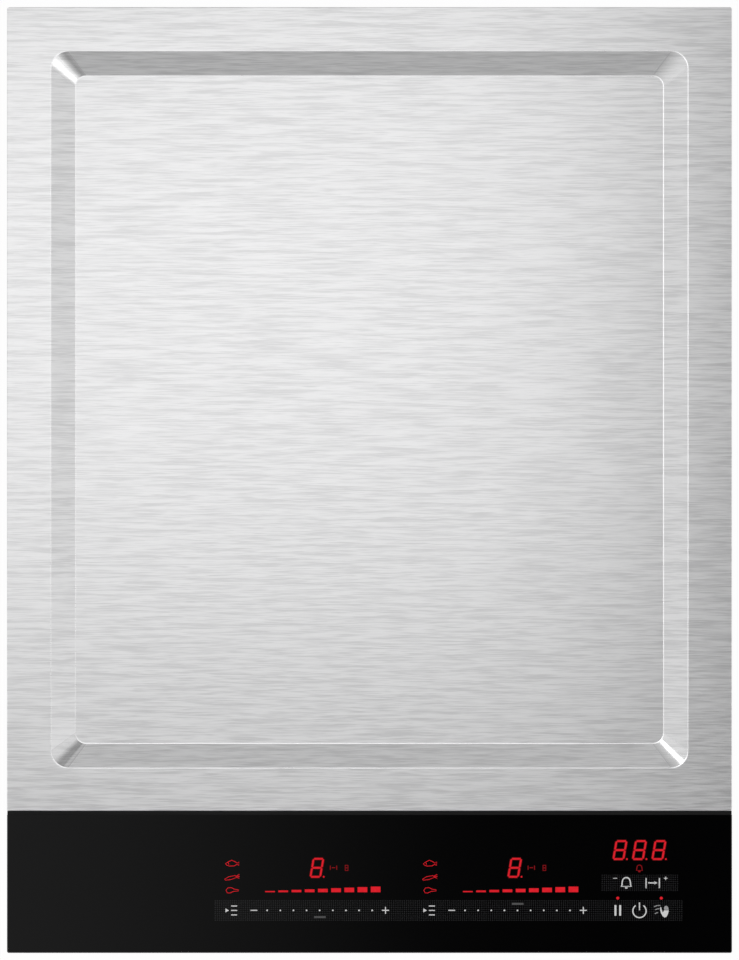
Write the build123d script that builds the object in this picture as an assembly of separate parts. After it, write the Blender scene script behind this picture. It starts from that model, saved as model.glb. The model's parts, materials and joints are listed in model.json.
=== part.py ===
from build123d import *
import math
import os

# Built-in teppanyaki cooktop, in millimetres. The origin is under the middle of the box,
# +Z is up, and the glass control strip is at the front, towards -Y.

# Overall size
overall_width = 384.0
overall_depth = 501.0
overall_height = 80.0

# Worktop cut-out that the body hangs in, and the rim that lies on the worktop
rim_overlap = 12.0
cutout_gap = 2.0

# Running clearances, and the overrun that every cut shares
cut_over = 1.0
shaft_gap = 0.05
pivot_gap = 0.08
face_gap = 0.1
slide_gap = 0.3

# Control glass and the joint behind it
glass_depth = 73.1
glass_thickness = 4.0
glass_corner = 1.0
glass_edge_chamfer = 0.6
joint_width = 2.1
joint_recess = 0.5
joint_end_inset = 0.8

# Pressed steel cooking plate with its shallow well
plate_sheet = 1.5
plate_bend = 0.6
plate_corner = 1.4
well_side_margin = 23.3
well_rear_margin = 23.3
well_front_margin = 22.8
well_depth = 7.0
well_slope_run = 12.7
well_crest_corner = 9.5
well_floor_corner = 6.0
well_crease = 0.9

# Flat steel ring inside the turned-down edge of the plate
ring_edge_gap = 0.25
ring_well_gap = 1.8
ring_front_width = 18.0

# Layers under the well floor
spreader_margin = 2.0
spreader_corner = 5.0
spreader_thickness = 3.5
base_sheet_thickness = 0.8
mat_margin = 6.0
mat_thickness = 4.0

# Temperature sensors clipped under the base sheet
sensor_radius = 3.5
sensor_height = 11.0
sensor_hole_gap = 1.0

# Foam seal on the worktop
seal_thickness = 1.5
seal_cutout_gap = 1.5
seal_edge_inset = 2.0

# Sheet-steel tray
tray_side_gap = 15.0
tray_end_gap = 4.5
tray_top_gap = 4.0
tray_sheet = 1.0
tray_corner = 4.0
tray_edge = 1.2
vent_slot_width = 3.0
vent_slot_pitch = 8.0
rear_vent_height = 26.0
rear_vent_low = 10.0
rear_vent_count = 12
rear_vent_shift = 16.0
side_vent_height = 9.0
side_vent_top_gap = 14.0
side_vent_count = 6
side_vent_start = 120.0
intake_radius = 27.0
intake_slot_pitch = 7.0

# Mounting frame that hangs the tray from the worktop
frame_sheet = 1.0
frame_leg = 13.0
frame_notch_gap = 1.0
crossbar_glass_lap = 10.1
crossbar_plate_lap = 15.3

# Hexagonal pillars
pillar_radius = 4.0
pillar_side_inset = 8.0
pillar_rear_inset = 16.0
pillar_front_inset = 17.0
pillar_blower_inset = 72.0

# Shield plate between the coils and the electronics
shield_drop = 8.0
shield_sheet = 1.5
shield_side_gap = 6.0
shield_front_lap = 2.2
shield_rear_lap = 1.5
shield_flange = 7.0
shield_end = 3.0
shield_lead_slot_length = 22.0
shield_lead_slot_width = 9.0

# Induction coil units
coil_gap = 11.0
coil_edge_gap = 17.0
coil_carrier_sheet = 2.0
coil_carrier_corner = 10.0
coil_rim_width = 1.4
coil_rim_height = 2.6
coil_turns = 4
coil_pitch = 9.0
wire_width = 5.6
wire_height = 3.2
coil_bend = 4.5
carrier_slot_length = 124.0
carrier_slot_width = 17.0
ferrite_overhang = 12.0
ferrite_width = 12.0
ferrite_height = 4.0
ferrite_pitch = 50.0
ferrite_count = 4
guide_tab_width = 8.0
guide_tab_inset = 7.0
guide_tab_top_gap = 1.0
spring_sheet = 0.6
spring_width = 10.0
spring_length = 46.0
spring_foot = 7.0
spring_crown = 10.0
spring_inset_y = 38.0
lead_radius = 1.5
lead_spacing = 8.0
lead_shift = 12.0
lead_drop = 2.5
lead_rise = 14.0
front_lead_land = 16.9
rear_lead_land = 6.0

# Power board with its heat sink and parts
board_sheet = 1.6
board_lift = 6.0
board_left_gap = 56.0
board_right_gap = 22.0
board_rear_gap = 15.0
board_post_inset = 6.0
sink_inset = 16.0
sink_width = 50.0
sink_rear_inset = 20.0
sink_base = 4.0
sink_top_gap = 7.9
sink_wall = 3.5
sink_fin = 1.4
sink_fin_count = 7
transistor_width = 16.0
transistor_top_gap = 3.0
transistor_thickness = 5.0
transistor_lift = 4.0
transistor_place_shares = (0.11, 0.31, 0.66, 0.86)
transistor_leg = 1.2
transistor_leg_pitch = 5.4
capacitor_side_gap = 13.5
capacitor_width = 24.0
capacitor_top_gap = 8.9
capacitor_corner = 1.5
capacitor_gap = 2.0
capacitor_row_count = 4
capacitor_column_count = 2

# Mains filter board and terminals
filter_width = 96.0
filter_depth = 57.0
filter_rear_gap = 11.0
filter_side_gap = 8.0
choke_core_size = (32.0, 22.0)
choke_coil_size = (20.0, 34.0)
choke_top_gap = 11.9
choke_coil_share = 2 / 3
choke_place_share = 0.28
terminal_width = 44.0
terminal_depth = 30.0
terminal_side_gap = 20.0
terminal_rear_gap = 21.0
terminal_height = 20.0
terminal_step = 8.0
terminal_ways = 5
terminal_bore = 5.0
terminal_rib = 1.4
wire_radius = 1.4
wire_land = 7.0
gland_side_gap = 42.0
gland_z = 24.0
gland_bore = 5.5
gland_thread = 8.0
gland_flange = 11.0
gland_flange_height = 3.5
gland_sleeve = 4.0

# Blower
blower_side_gap = 62.0
blower_front_gap = 87.0
blower_wall = 1.5
blower_base_sheet = 1.5
blower_top_gap = 12.5
blower_cover_sheet = 2.0
scroll_start_radius = 40.0
scroll_end_radius = 58.0
scroll_start_angle = 25.0
scroll_steps = 4
scroll_mouth_length = 66.0
scroll_inlet_radius = 28.0
impeller_radius = 35.5
impeller_eye_radius = 28.0
impeller_lift = 2.0
impeller_disc = 1.2
impeller_top_gap = 5.5
impeller_blades = 17
impeller_blade_sheet = 1.0
impeller_blade_sweep = 8.0
impeller_blade_knee = 3.0
hub_radius = 15.2
hub_wall = 1.2
hub_lift = 3.0
air_gap = 0.6
stator_foot = 10.5
stator_sides = 12
bearing_radius = 4.0
bearing_top_gap = 3.0
shaft_radius = 1.5
shaft_top_gap = 1.5
duct_wall = 1.5
duct_side_lap = 1.5
duct_run = 30.0

# Control unit under the glass
control_side_gap = 0.8
control_front_gap = 0.8
control_rear_gap = 0.8
control_wall = 1.2
control_corner = 2.6
control_height = 9.0
control_ledge = 2.0
control_ledge_height = 1.4
control_board_gap = 0.4
display_recess = 0.4
display_frame = 1.0
zone_control_shares = (-0.1432, 0.4021)
timer_share = 0.7448
level_digit_size = (14.0, 15.0)
level_digit_inset = 45.1
level_bar_size = (65.0, 6.0)
level_bar_shift = 2.9
level_bar_inset = 33.9
pictogram_size = (10.0, 18.0)
pictogram_shift = -45.3
pictogram_inset = 40.2
timer_size = (33.0, 10.6)
timer_inset = 54.5
pad_inset = 22.6
pad_depth = 6.2
pad_width = 7.0
slider_pad_width = 58.0
slider_pad_shift = 1.1
pad_shifts = (-44.5, -33.5, 36.0)
function_pad_shifts = (-11.5, 0.0, 11.7)
ribbon_width = 20.0
ribbon_thickness = 1.2
ribbon_side_gap = 82.0
ribbon_bend = 9.0
ribbon_inset = 17.7
ribbon_low_z = 26.0
ribbon_land = 10.0

# Worktop clamps
clamp_y = 20.0
clamp_axis_gap = 7.5
clamp_sheet = 1.5
clamp_foot_z = 4.0
clamp_ear_low_z = 6.0
clamp_top_gap = 4.0
clamp_ear_drop = 5.0
clamp_half_width = 9.0
clamp_tail = 15.0
clamp_stop_sheet = 1.2
clamp_screw_radius = 3.0
clamp_head_radius = 5.0
clamp_head_height = 3.2
clamp_collar_radius = 5.0
clamp_collar_height = 1.0
clamp_screw_end = 2.5
nut_height = 5.0
claw_sheet = 2.5
claw_length = 30.0
claw_rise = 4.5
claw_hub_run = 8.0
claw_tip_corner = 2.5
claw_hub_corner = 4.2

# Levels and lines that follow from the sizes above
half_width = overall_width / 2
half_depth = overall_depth / 2
cutout_width = overall_width - 2 * rim_overlap
cutout_depth = overall_depth - 2 * rim_overlap
plate_top = overall_height
seat_z = plate_top - glass_thickness
ring_thickness = glass_thickness - plate_sheet
glass_rear_y = glass_depth - half_depth
plate_front_y = glass_rear_y + joint_width
well_floor_z = plate_top - well_depth
spreader_top = well_floor_z - plate_sheet
base_sheet_top = spreader_top - spreader_thickness
mat_top = base_sheet_top - base_sheet_thickness
coil_top = mat_top - mat_thickness
carrier_top = coil_top - wire_height
carrier_bottom = carrier_top - coil_carrier_sheet
shield_top = carrier_bottom - ferrite_height - shield_drop
shield_bottom = shield_top - shield_sheet
worktop_z = seat_z - seal_thickness
frame_flange_z = seat_z - frame_sheet
frame_leg_z = seat_z - frame_sheet - frame_leg
tray_height = seat_z - tray_top_gap
side_vent_low = tray_height - side_vent_top_gap - side_vent_height
clamp_top_z = frame_flange_z - clamp_top_gap
clamp_ear_high_z = clamp_top_z - clamp_ear_drop
tray_half_x = cutout_width / 2 - tray_side_gap
tray_half_y = cutout_depth / 2 - tray_end_gap
tray_inner_x = tray_half_x - tray_sheet
tray_inner_y = tray_half_y - tray_sheet
frame_half_x = tray_half_x + frame_sheet
frame_half_y = tray_half_y + frame_sheet
flange_half_x = cutout_width / 2 - cutout_gap
flange_half_y = cutout_depth / 2 - cutout_gap
board_bottom = tray_sheet + board_lift
board_top = board_bottom + board_sheet
sink_height = shield_bottom - board_top - sink_top_gap
transistor_height = sink_height - transistor_lift - transistor_top_gap
capacitor_height = shield_bottom - board_top - capacitor_top_gap
choke_height = shield_bottom - board_top - choke_top_gap
crest_half_x = half_width - well_side_margin
crest_front_y = plate_front_y + well_front_margin
crest_rear_y = half_depth - well_rear_margin
floor_half_x = crest_half_x - well_slope_run
floor_front_y = crest_front_y + well_slope_run
floor_rear_y = crest_rear_y - well_slope_run
floor_middle_y = (floor_front_y + floor_rear_y) / 2
zone_depth = (floor_rear_y - floor_front_y) / 2
coil_carrier_depth = zone_depth - coil_gap
zone_offset = zone_depth / 2
zone_middles = (floor_middle_y - zone_offset, floor_middle_y + zone_offset)
carrier_half_x = floor_half_x - coil_gap
carrier_half_y = coil_carrier_depth / 2
coil_outer_half_x = carrier_half_x - coil_edge_gap
coil_outer_half_y = carrier_half_y - coil_edge_gap
shield_front_y = floor_front_y - shield_front_lap
shield_rear_y = floor_rear_y + shield_rear_lap
shield_half_x = tray_inner_x - shield_side_gap
clamp_axis_x = tray_half_x + clamp_axis_gap
clamp_reach = flange_half_x - tray_half_x
bar_front = glass_rear_y - crossbar_glass_lap
bar_rear = plate_front_y + crossbar_plate_lap

# Places on the floor of the tray, from its walls inwards
gland_x = tray_inner_x - gland_side_gap
terminal_right = tray_inner_x - terminal_side_gap
terminal_left = terminal_right - terminal_width
terminal_rear = tray_inner_y - terminal_rear_gap
terminal_front = terminal_rear - terminal_depth
filter_right = terminal_left - filter_side_gap
filter_left = filter_right - filter_width
filter_rear = tray_inner_y - filter_rear_gap
filter_front = filter_rear - filter_depth
blower_x = blower_side_gap - tray_inner_x
blower_y = blower_front_gap - tray_inner_y
board_left = board_left_gap - tray_inner_x
board_right = tray_inner_x - board_right_gap
board_front = blower_y + scroll_mouth_length + duct_run
board_rear = filter_front - board_rear_gap
sink_left = board_left + sink_inset
sink_right = sink_left + sink_width
sink_rear = board_rear - sink_rear_inset


def block(x_low, x_high, y_low, y_high, z_low, z_high):
    """A plain block between two corners."""
    middle = Pos((x_low + x_high) / 2, (y_low + y_high) / 2, (z_low + z_high) / 2)
    return middle * Box(x_high - x_low, y_high - y_low, z_high - z_low)


def rounded_plate(x_low, x_high, y_low, y_high, z_low, z_high, corner):
    """A flat plate whose upright corners are rounded."""
    middle = Pos((x_low + x_high) / 2, (y_low + y_high) / 2, z_low)
    outline = middle * RectangleRounded(x_high - x_low, y_high - y_low, corner)
    return extrude(outline, z_high - z_low)


def post(x, y, z_low, z_high, radius):
    """An upright round post."""
    return Pos(x, y, (z_low + z_high) / 2) * Cylinder(radius, z_high - z_low)


def hex_post(x, y, z_low, z_high, radius):
    """An upright hexagonal post, with its radius to the corners."""
    return Pos(x, y, z_low) * extrude(RegularPolygon(radius, 6), z_high - z_low)


def folded_strip(line, thickness, width):
    """A strip folded along a line of the YZ plane, its thickness on the left, centred on X."""
    outline = line.offset_2d(thickness, side=Side.LEFT)
    strip = extrude(make_face(outline.edges()), width / 2, both=True)
    return Plane.YZ.location * strip


def wire_run(points, radius):
    """A six-sided wire along straight runs."""
    path = Polyline(*points)
    section = Plane(origin=path @ 0, z_dir=path % 0) * RegularPolygon(radius, 6)
    return sweep(section, path=path, transition=Transition.RIGHT)


def write(node, *shapes):
    """Write one node, with each of its pieces as a separate solid."""
    solids = []
    for shape in shapes:
        solids.extend(shape.solids())
    whole = solids[0] if len(solids) == 1 else Compound(solids)
    export_step(whole, os.path.join("parts", node + ".step"))


def board_corner_points():
    """The four corners where the power board is held."""
    columns = (board_left + board_post_inset, board_right - board_post_inset)
    rows = (board_front + board_post_inset, board_rear - board_post_inset)
    return [(x, y) for x in columns for y in rows]


def filter_corner_points():
    """The four corners where the filter board is held."""
    columns = (filter_left + board_post_inset, filter_right - board_post_inset)
    rows = (filter_front + board_post_inset, filter_rear - board_post_inset)
    return [(x, y) for x in columns for y in rows]


def shield_pillar_points():
    """The six pillars of the shield plate; the front left one stands behind the blower."""
    side = shield_half_x - pillar_side_inset
    rear = shield_rear_y - pillar_rear_inset
    front = shield_front_y + pillar_front_inset
    behind = shield_front_y + pillar_blower_inset
    between = (behind + rear) / 2
    return [(-side, behind), (side, front), (-side, between), (side, between), (-side, rear), (side, rear)]


def lead_ends(middle_y):
    """Where the leads of one coil leave it, and where they land on the power board."""
    start_y = middle_y + lead_reach
    at_front = middle_y < floor_middle_y
    end_y = board_front + front_lead_land if at_front else board_rear - rear_lead_land
    return start_y, end_y


def guide_tab_points(middle_y):
    """The four upright tabs that guide one coil unit, near the ends of its long sides."""
    reach_x = carrier_half_x - coil_carrier_corner - guide_tab_width
    reach_y = carrier_half_y - guide_tab_inset
    return [(x * reach_x, middle_y + y * reach_y) for x in (-1, 1) for y in (-1, 1)]


def guide_tab(x, y, z_low, z_high, gap):
    """One upright sheet tab, or with a gap the slot that it passes through."""
    half_x = guide_tab_width / 2 + gap
    half_y = shield_sheet / 2 + gap
    return block(x - half_x, x + half_x, y - half_y, y + half_y, z_low, z_high)


def ferrite_boxes(middle_y):
    """Low and high corners in plan of the ferrite bars of one coil unit."""
    half_wide = ferrite_width / 2
    band_x = coil_outer_half_x - coil_turns * coil_pitch / 2
    band_y = coil_outer_half_y - coil_turns * coil_pitch / 2
    half_long = (coil_turns * coil_pitch + ferrite_overhang) / 2
    boxes = []
    for side in (-1, 1):
        y = middle_y + side * band_y
        for step in range(ferrite_count):
            x = (step - (ferrite_count - 1) / 2) * ferrite_pitch
            boxes.append((x - half_wide, x + half_wide, y - half_long, y + half_long))
        x = side * band_x
        boxes.append((x - half_long, x + half_long, middle_y - half_wide, middle_y + half_wide))
    return boxes


# Blower outline, seen from above: the scroll widens round the impeller to a straight mouth
scroll_turn = 360.0 - scroll_start_angle
mouth_y = blower_y + scroll_mouth_length
mouth_left = blower_x + scroll_start_radius * math.cos(math.radians(scroll_start_angle))
mouth_right = blower_x + scroll_end_radius
blower_floor = tray_sheet + blower_base_sheet
cover_top = shield_bottom - blower_top_gap
blower_top = cover_top - blower_cover_sheet
blower_height = blower_top - blower_floor


def scroll_point(share):
    """A point of the scroll, at a share of its turn."""
    angle = math.radians(scroll_start_angle + share * scroll_turn)
    radius = scroll_start_radius + share * (scroll_end_radius - scroll_start_radius)
    return (blower_x + radius * math.cos(angle), blower_y + radius * math.sin(angle))


def scroll_face(mouth_end):
    """The air space of the scroll, with its mouth run out to mouth_end."""
    edges = []
    for step in range(scroll_steps):
        first = scroll_point(step / scroll_steps)
        middle = scroll_point((step + 1 / 2) / scroll_steps)
        last = scroll_point((step + 1) / scroll_steps)
        edges.append(ThreePointArc(first, middle, last))
    start = scroll_point(0)
    end = scroll_point(1)
    edges.append(Line(end, (end[0], mouth_end)))
    edges.append(Line((end[0], mouth_end), (start[0], mouth_end)))
    edges.append(Line((start[0], mouth_end), start))
    return make_face(edges)


# Cooking plate: a pressed sheet with turned-down edges and a drawn well with mitred corners

def well_solid(spread, z_low, z_high):
    """The funnel of the well; spread is how far it stands outside the sheet's upper face."""
    slope = well_slope_run / well_depth
    low_out = spread + (z_low - well_floor_z) * slope
    high_out = spread + (z_high - well_floor_z) * slope
    share_low = (z_low - well_floor_z) / well_depth
    share_high = (z_high - well_floor_z) / well_depth
    corner_low = well_floor_corner + share_low * (well_crest_corner - well_floor_corner)
    corner_high = well_floor_corner + share_high * (well_crest_corner - well_floor_corner)
    width = 2 * floor_half_x
    depth = floor_rear_y - floor_front_y
    low = RectangleRounded(width + 2 * low_out, depth + 2 * low_out, corner_low + spread)
    high = RectangleRounded(width + 2 * high_out, depth + 2 * high_out, corner_high + spread)
    faces = [
        (Pos(0, floor_middle_y, z_low) * low).face(),
        (Pos(0, floor_middle_y, z_high) * high).face(),
    ]
    return loft(faces, ruled=True)


def make_teppan_plate():
    outer = rounded_plate(-half_width, half_width, plate_front_y, half_depth, seat_z, plate_top, plate_corner)
    outer = chamfer(outer.edges().group_by(Axis.Z)[-1], plate_bend)
    inner_x = half_width - plate_sheet
    hollow = block(-inner_x, inner_x, plate_front_y + plate_sheet, half_depth - plate_sheet,
                   seat_z - cut_over, plate_top - plate_sheet)
    slope_angle = math.atan2(well_depth, well_slope_run)
    under_spread = plate_sheet * math.tan(slope_angle / 2)
    overlap_z = plate_top - plate_sheet / 2
    skin = well_solid(under_spread, spreader_top + plate_sheet, overlap_z + plate_sheet)
    skin = Pos(0, 0, -plate_sheet) * skin
    pocket = well_solid(0, well_floor_z, plate_top)
    shell = outer - hollow + skin - pocket
    creases = [edge for edge in shell.edges() if crease_edge(edge)]
    return fillet(creases, well_crease)


def crease_edge(edge):
    """True for the edges round the crest and round the floor of the well, on the upper face."""
    box = edge.bounding_box()
    flat = box.max.Z - box.min.Z < face_gap
    inside_x = max(abs(box.min.X), abs(box.max.X)) < crest_half_x + face_gap
    inside_y = box.min.Y > crest_front_y - face_gap and box.max.Y < crest_rear_y + face_gap
    at_crest = abs(box.max.Z - plate_top) < face_gap
    at_floor = abs(box.max.Z - well_floor_z) < face_gap
    long_enough = edge.length > well_crease
    return flat and inside_x and inside_y and (at_crest or at_floor) and long_enough


def make_carrier_ring():
    edge_x = half_width - plate_sheet - ring_edge_gap
    front = plate_front_y + plate_sheet + ring_edge_gap
    rear = half_depth - plate_sheet - ring_edge_gap
    inner_x = crest_half_x + ring_well_gap
    ring = rounded_plate(-edge_x, edge_x, front, rear, seat_z, seat_z + ring_thickness, plate_corner)
    opening = rounded_plate(-inner_x, inner_x, front + ring_front_width, crest_rear_y + ring_well_gap,
                            seat_z - cut_over, plate_top, well_crest_corner + ring_well_gap)
    return ring - opening


def make_heat_layers():
    side = floor_half_x - spreader_margin
    front = floor_front_y + spreader_margin
    rear = floor_rear_y - spreader_margin
    spreader = rounded_plate(-side, side, front, rear, base_sheet_top, spreader_top, spreader_corner)
    base_sheet = rounded_plate(-side, side, front, rear, mat_top, base_sheet_top, spreader_corner)
    mat_side = floor_half_x - mat_margin
    mat = block(-mat_side, mat_side, floor_front_y + mat_margin, floor_rear_y - mat_margin, coil_top, mat_top)
    sensors = []
    for middle_y in zone_middles:
        hole = sensor_radius + sensor_hole_gap
        mat -= block(-hole, hole, middle_y - hole, middle_y + hole, coil_top - cut_over, mat_top + cut_over)
        sensors.append(post(0, middle_y, mat_top - sensor_height, mat_top, sensor_radius))
    write("heat_spreader", spreader)
    write("induction_base_sheet", base_sheet)
    write("insulation_mat", mat)
    write("temperature_sensors", *sensors)


# Control glass, the joint behind it and the foam seal

def make_control_glass():
    glass = block(-half_width, half_width, -half_depth, glass_rear_y, seat_z, plate_top)
    front_corners = glass.edges().filter_by(Axis.Z).group_by(Axis.Y)[0]
    glass = fillet(front_corners, glass_corner)
    top_edges = glass.edges().group_by(Axis.Z)[-1].sort_by(Axis.Y)[:-1]
    return chamfer(top_edges, glass_edge_chamfer)


def make_glass_joint():
    side = half_width - joint_end_inset
    return block(-side, side, glass_rear_y, plate_front_y, seat_z, plate_top - joint_recess)


def make_worktop_seal():
    inner_x = cutout_width / 2 + seal_cutout_gap
    inner_y = cutout_depth / 2 + seal_cutout_gap
    outer_x = half_width - seal_edge_inset
    outer_y = half_depth - seal_edge_inset
    seal = block(-outer_x, outer_x, -outer_y, outer_y, worktop_z, seat_z)
    seal -= block(-inner_x, inner_x, -inner_y, inner_y, worktop_z - cut_over, seat_z + cut_over)
    return seal


# Mounting frame: a folded angle round the tray, with a bar under the joint

def make_mounting_frame():
    leg = rounded_plate(-frame_half_x, frame_half_x, -frame_half_y, frame_half_y, frame_leg_z, seat_z,
                        tray_corner + frame_sheet)
    flange = rounded_plate(-flange_half_x, flange_half_x, -flange_half_y, flange_half_y, frame_flange_z,
                           seat_z, tray_corner + frame_sheet)
    inner = rounded_plate(-tray_half_x, tray_half_x, -tray_half_y, tray_half_y, frame_leg_z - cut_over,
                          seat_z + cut_over, tray_corner)
    frame = leg + flange - inner
    frame += block(-frame_half_x, frame_half_x, bar_front, bar_rear, frame_flange_z, seat_z)
    for side in (-1, 1):
        frame -= clamp_notch(side)
    return frame


def clamp_notch(side):
    """The gap in the frame's leg that a clamp bracket passes through."""
    near = tray_half_x - cut_over
    far = tray_half_x + frame_sheet + face_gap
    notch = block(near, far, clamp_y - clamp_tail - frame_notch_gap,
                  clamp_y + clamp_half_width + frame_notch_gap, frame_leg_z - cut_over, frame_flange_z)
    return notch if side > 0 else mirror(notch, about=Plane.YZ)


# Tray: a box of thin sheet with air slots

def make_housing_tray():
    outer = rounded_plate(-tray_half_x, tray_half_x, -tray_half_y, tray_half_y, 0, tray_height, tray_corner)
    outer = chamfer(outer.edges().group_by(Axis.Z)[0], tray_edge)
    inner = rounded_plate(-tray_inner_x, tray_inner_x, -tray_inner_y, tray_inner_y, tray_sheet,
                          tray_height + cut_over, tray_corner - tray_sheet)
    tray = outer - inner
    half_slot = vent_slot_width / 2
    cuts = []
    for step in range(rear_vent_count):
        x = (step - (rear_vent_count - 1) / 2) * vent_slot_pitch - rear_vent_shift
        cuts.append(block(x - half_slot, x + half_slot, tray_inner_y - cut_over, tray_half_y + cut_over,
                          rear_vent_low, rear_vent_low + rear_vent_height))
    for side in (-1, 1):
        for step in range(side_vent_count):
            y = tray_half_y - side_vent_start - step * vent_slot_pitch
            near = tray_inner_x - cut_over
            far = tray_half_x + cut_over
            cuts.append(block(min(side * near, side * far), max(side * near, side * far), y - half_slot,
                              y + half_slot, side_vent_low, side_vent_low + side_vent_height))
    rows = int(intake_radius / intake_slot_pitch)
    for row in range(-rows, rows + 1):
        offset = row * intake_slot_pitch
        reach = math.sqrt(intake_radius ** 2 - offset ** 2)
        if reach > intake_slot_pitch:
            y = blower_y + offset
            cuts.append(block(blower_x - reach, blower_x + reach, y - half_slot, y + half_slot,
                              -cut_over, tray_sheet + cut_over))
    gland_cut = Pos(gland_x, tray_half_y, gland_z) * Rot(90, 0, 0)
    cuts.append(gland_cut * Cylinder(gland_thread + shaft_gap, 2 * (tray_sheet + cut_over)))
    return tray - cuts


# Shield plate and the pillars that carry it and the boards

def make_shield_plate():
    side = shield_half_x
    plate = block(-side, side, shield_front_y, shield_rear_y, shield_bottom, shield_top)
    for turn in (-1, 1):
        outer = turn * side
        inner = turn * (side - shield_sheet)
        plate += block(min(outer, inner), max(outer, inner), shield_front_y + shield_end,
                       shield_rear_y - shield_end, shield_bottom, shield_top + shield_flange)
    for middle_y in zone_middles:
        slot_y = lead_ends(middle_y)[0]
        half_x = shield_lead_slot_length / 2
        half_y = shield_lead_slot_width / 2
        plate -= block(lead_shift - half_x, lead_shift + half_x, slot_y - half_y, slot_y + half_y,
                       shield_bottom - cut_over, shield_top + cut_over)
        for x, y in guide_tab_points(middle_y):
            plate += guide_tab(x, y, shield_bottom, coil_top - guide_tab_top_gap, 0)
    return plate


def make_pillars():
    pillars = [hex_post(x, y, tray_sheet, shield_bottom, pillar_radius) for x, y in shield_pillar_points()]
    for x, y in board_corner_points() + filter_corner_points():
        pillars.append(hex_post(x, y, tray_sheet, board_bottom, pillar_radius))
    return pillars


# Coil units: a moulded carrier with a rim, a flat spiral winding on it and ferrite bars below

def make_coil_carrier(middle_y):
    low_y = middle_y - carrier_half_y
    high_y = middle_y + carrier_half_y
    carrier = rounded_plate(-carrier_half_x, carrier_half_x, low_y, high_y, carrier_bottom,
                            carrier_top + coil_rim_height, coil_carrier_corner)
    carrier -= rounded_plate(coil_rim_width - carrier_half_x, carrier_half_x - coil_rim_width,
                             low_y + coil_rim_width, high_y - coil_rim_width, carrier_top,
                             coil_top + cut_over, coil_carrier_corner - coil_rim_width)
    half_x = carrier_slot_length / 2
    half_y = carrier_slot_width / 2
    carrier -= block(-half_x, half_x, middle_y - half_y, middle_y + half_y, carrier_bottom - cut_over,
                     carrier_top + cut_over)
    for x, y in guide_tab_points(middle_y):
        carrier -= guide_tab(x, y, carrier_bottom - cut_over, coil_top, slide_gap)
    return carrier


def spiral_edge(middle_y, spread):
    """One edge of the winding: a rectangular spiral with round corners, spread outwards."""
    inner_x = coil_outer_half_x - coil_turns * coil_pitch
    inner_y = coil_outer_half_y - coil_turns * coil_pitch
    corners = 4 * coil_turns

    def side_reach(step):
        base = inner_x if step % 2 else inner_y
        return base + spread + coil_pitch * step / 4

    signs = ((1, -1), (1, 1), (-1, 1), (-1, -1))
    points = [(0, middle_y - side_reach(0))]
    bends = []
    for corner in range(corners):
        sign_x, sign_y = signs[corner % 4]
        across, along = side_reach(corner), side_reach(corner + 1)
        x, y = (along, across) if corner % 2 == 0 else (across, along)
        points.append((sign_x * x, middle_y + sign_y * y))
        bends.append(coil_bend + spread)
    points.append((0, middle_y - side_reach(corners)))
    return FilletPolyline(*points, radius=bends)


def make_coil_winding(middle_y):
    inner = spiral_edge(middle_y, -wire_width / 2)
    outer = spiral_edge(middle_y, wire_width / 2)
    ends = [Line(inner @ 0, outer @ 0), Line(inner @ 1, outer @ 1)]
    outline = make_face(inner.edges() + outer.edges() + ends)
    print("winding turns", coil_turns, "least gap between turns", coil_pitch - wire_width)
    return extrude(Pos(0, 0, carrier_top) * outline, wire_height)


def make_ferrites(middle_y):
    low = carrier_bottom - ferrite_height
    return [block(*corners, low, carrier_bottom) for corners in ferrite_boxes(middle_y)]


def make_coil_springs(middle_y):
    half = spring_length / 2
    rise = carrier_bottom - shield_top - spring_sheet
    points = [
        (-half, 0),
        (spring_foot - half, 0),
        (-spring_crown / 2, rise),
        (spring_crown / 2, rise),
        (half - spring_foot, 0),
        (half, 0),
    ]
    spring = folded_strip(Polyline(*points), spring_sheet, spring_width)
    reach_x = ferrite_pitch * ferrite_count / 2
    reach_y = carrier_half_y - spring_inset_y
    places = [(x * reach_x, middle_y + y * reach_y) for x in (-1, 1) for y in (-1, 1)]
    return [Pos(x, y, shield_top) * spring for x, y in places]


lead_reach = carrier_slot_width / 2 + lead_radius + face_gap


def make_coil_leads(middle_y):
    leads = []
    start_y, end_y = lead_ends(middle_y)
    for side in (-1, 1):
        x = lead_shift + side * lead_spacing / 2
        points = [
            (x, start_y, carrier_bottom),
            (x, start_y, shield_bottom - lead_drop),
            (x, end_y, board_top + lead_rise),
            (x, end_y, board_top),
        ]
        leads.append(wire_run(points, lead_radius))
    return leads


# Power board, heat sink with fins, and the parts that stand on the boards

def make_power_board():
    return block(board_left, board_right, board_front, board_rear, board_bottom, board_top)


def make_heat_sink():
    top = board_top + sink_height
    sink = block(sink_left, sink_right, board_front, sink_rear, board_top, board_top + sink_base)
    sink += block(sink_left, sink_left + sink_wall, board_front, sink_rear, board_top, top)
    sink += block(sink_right - sink_wall, sink_right, board_front, sink_rear, board_top, top)
    room = sink_right - sink_left - 2 * sink_wall
    pitch = room / (sink_fin_count + 1)
    for step in range(1, sink_fin_count + 1):
        x = sink_left + sink_wall + step * pitch
        sink += block(x - sink_fin / 2, x + sink_fin / 2, board_front, sink_rear, board_top, top - sink_base)
    return sink


def make_transistors():
    devices = []
    low = board_top + transistor_lift
    for share in transistor_place_shares:
        y = board_front + share * (sink_rear - board_front)
        body = block(sink_right, sink_right + transistor_thickness, y - transistor_width / 2,
                     y + transistor_width / 2, low, low + transistor_height)
        leg_x = sink_right + transistor_thickness / 2
        for step in (-1, 0, 1):
            leg_y = y + step * transistor_leg_pitch
            half = transistor_leg / 2
            body += block(leg_x - half, leg_x + half, leg_y - half, leg_y + half, board_top, low)
        devices.append(body)
    return devices


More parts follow.
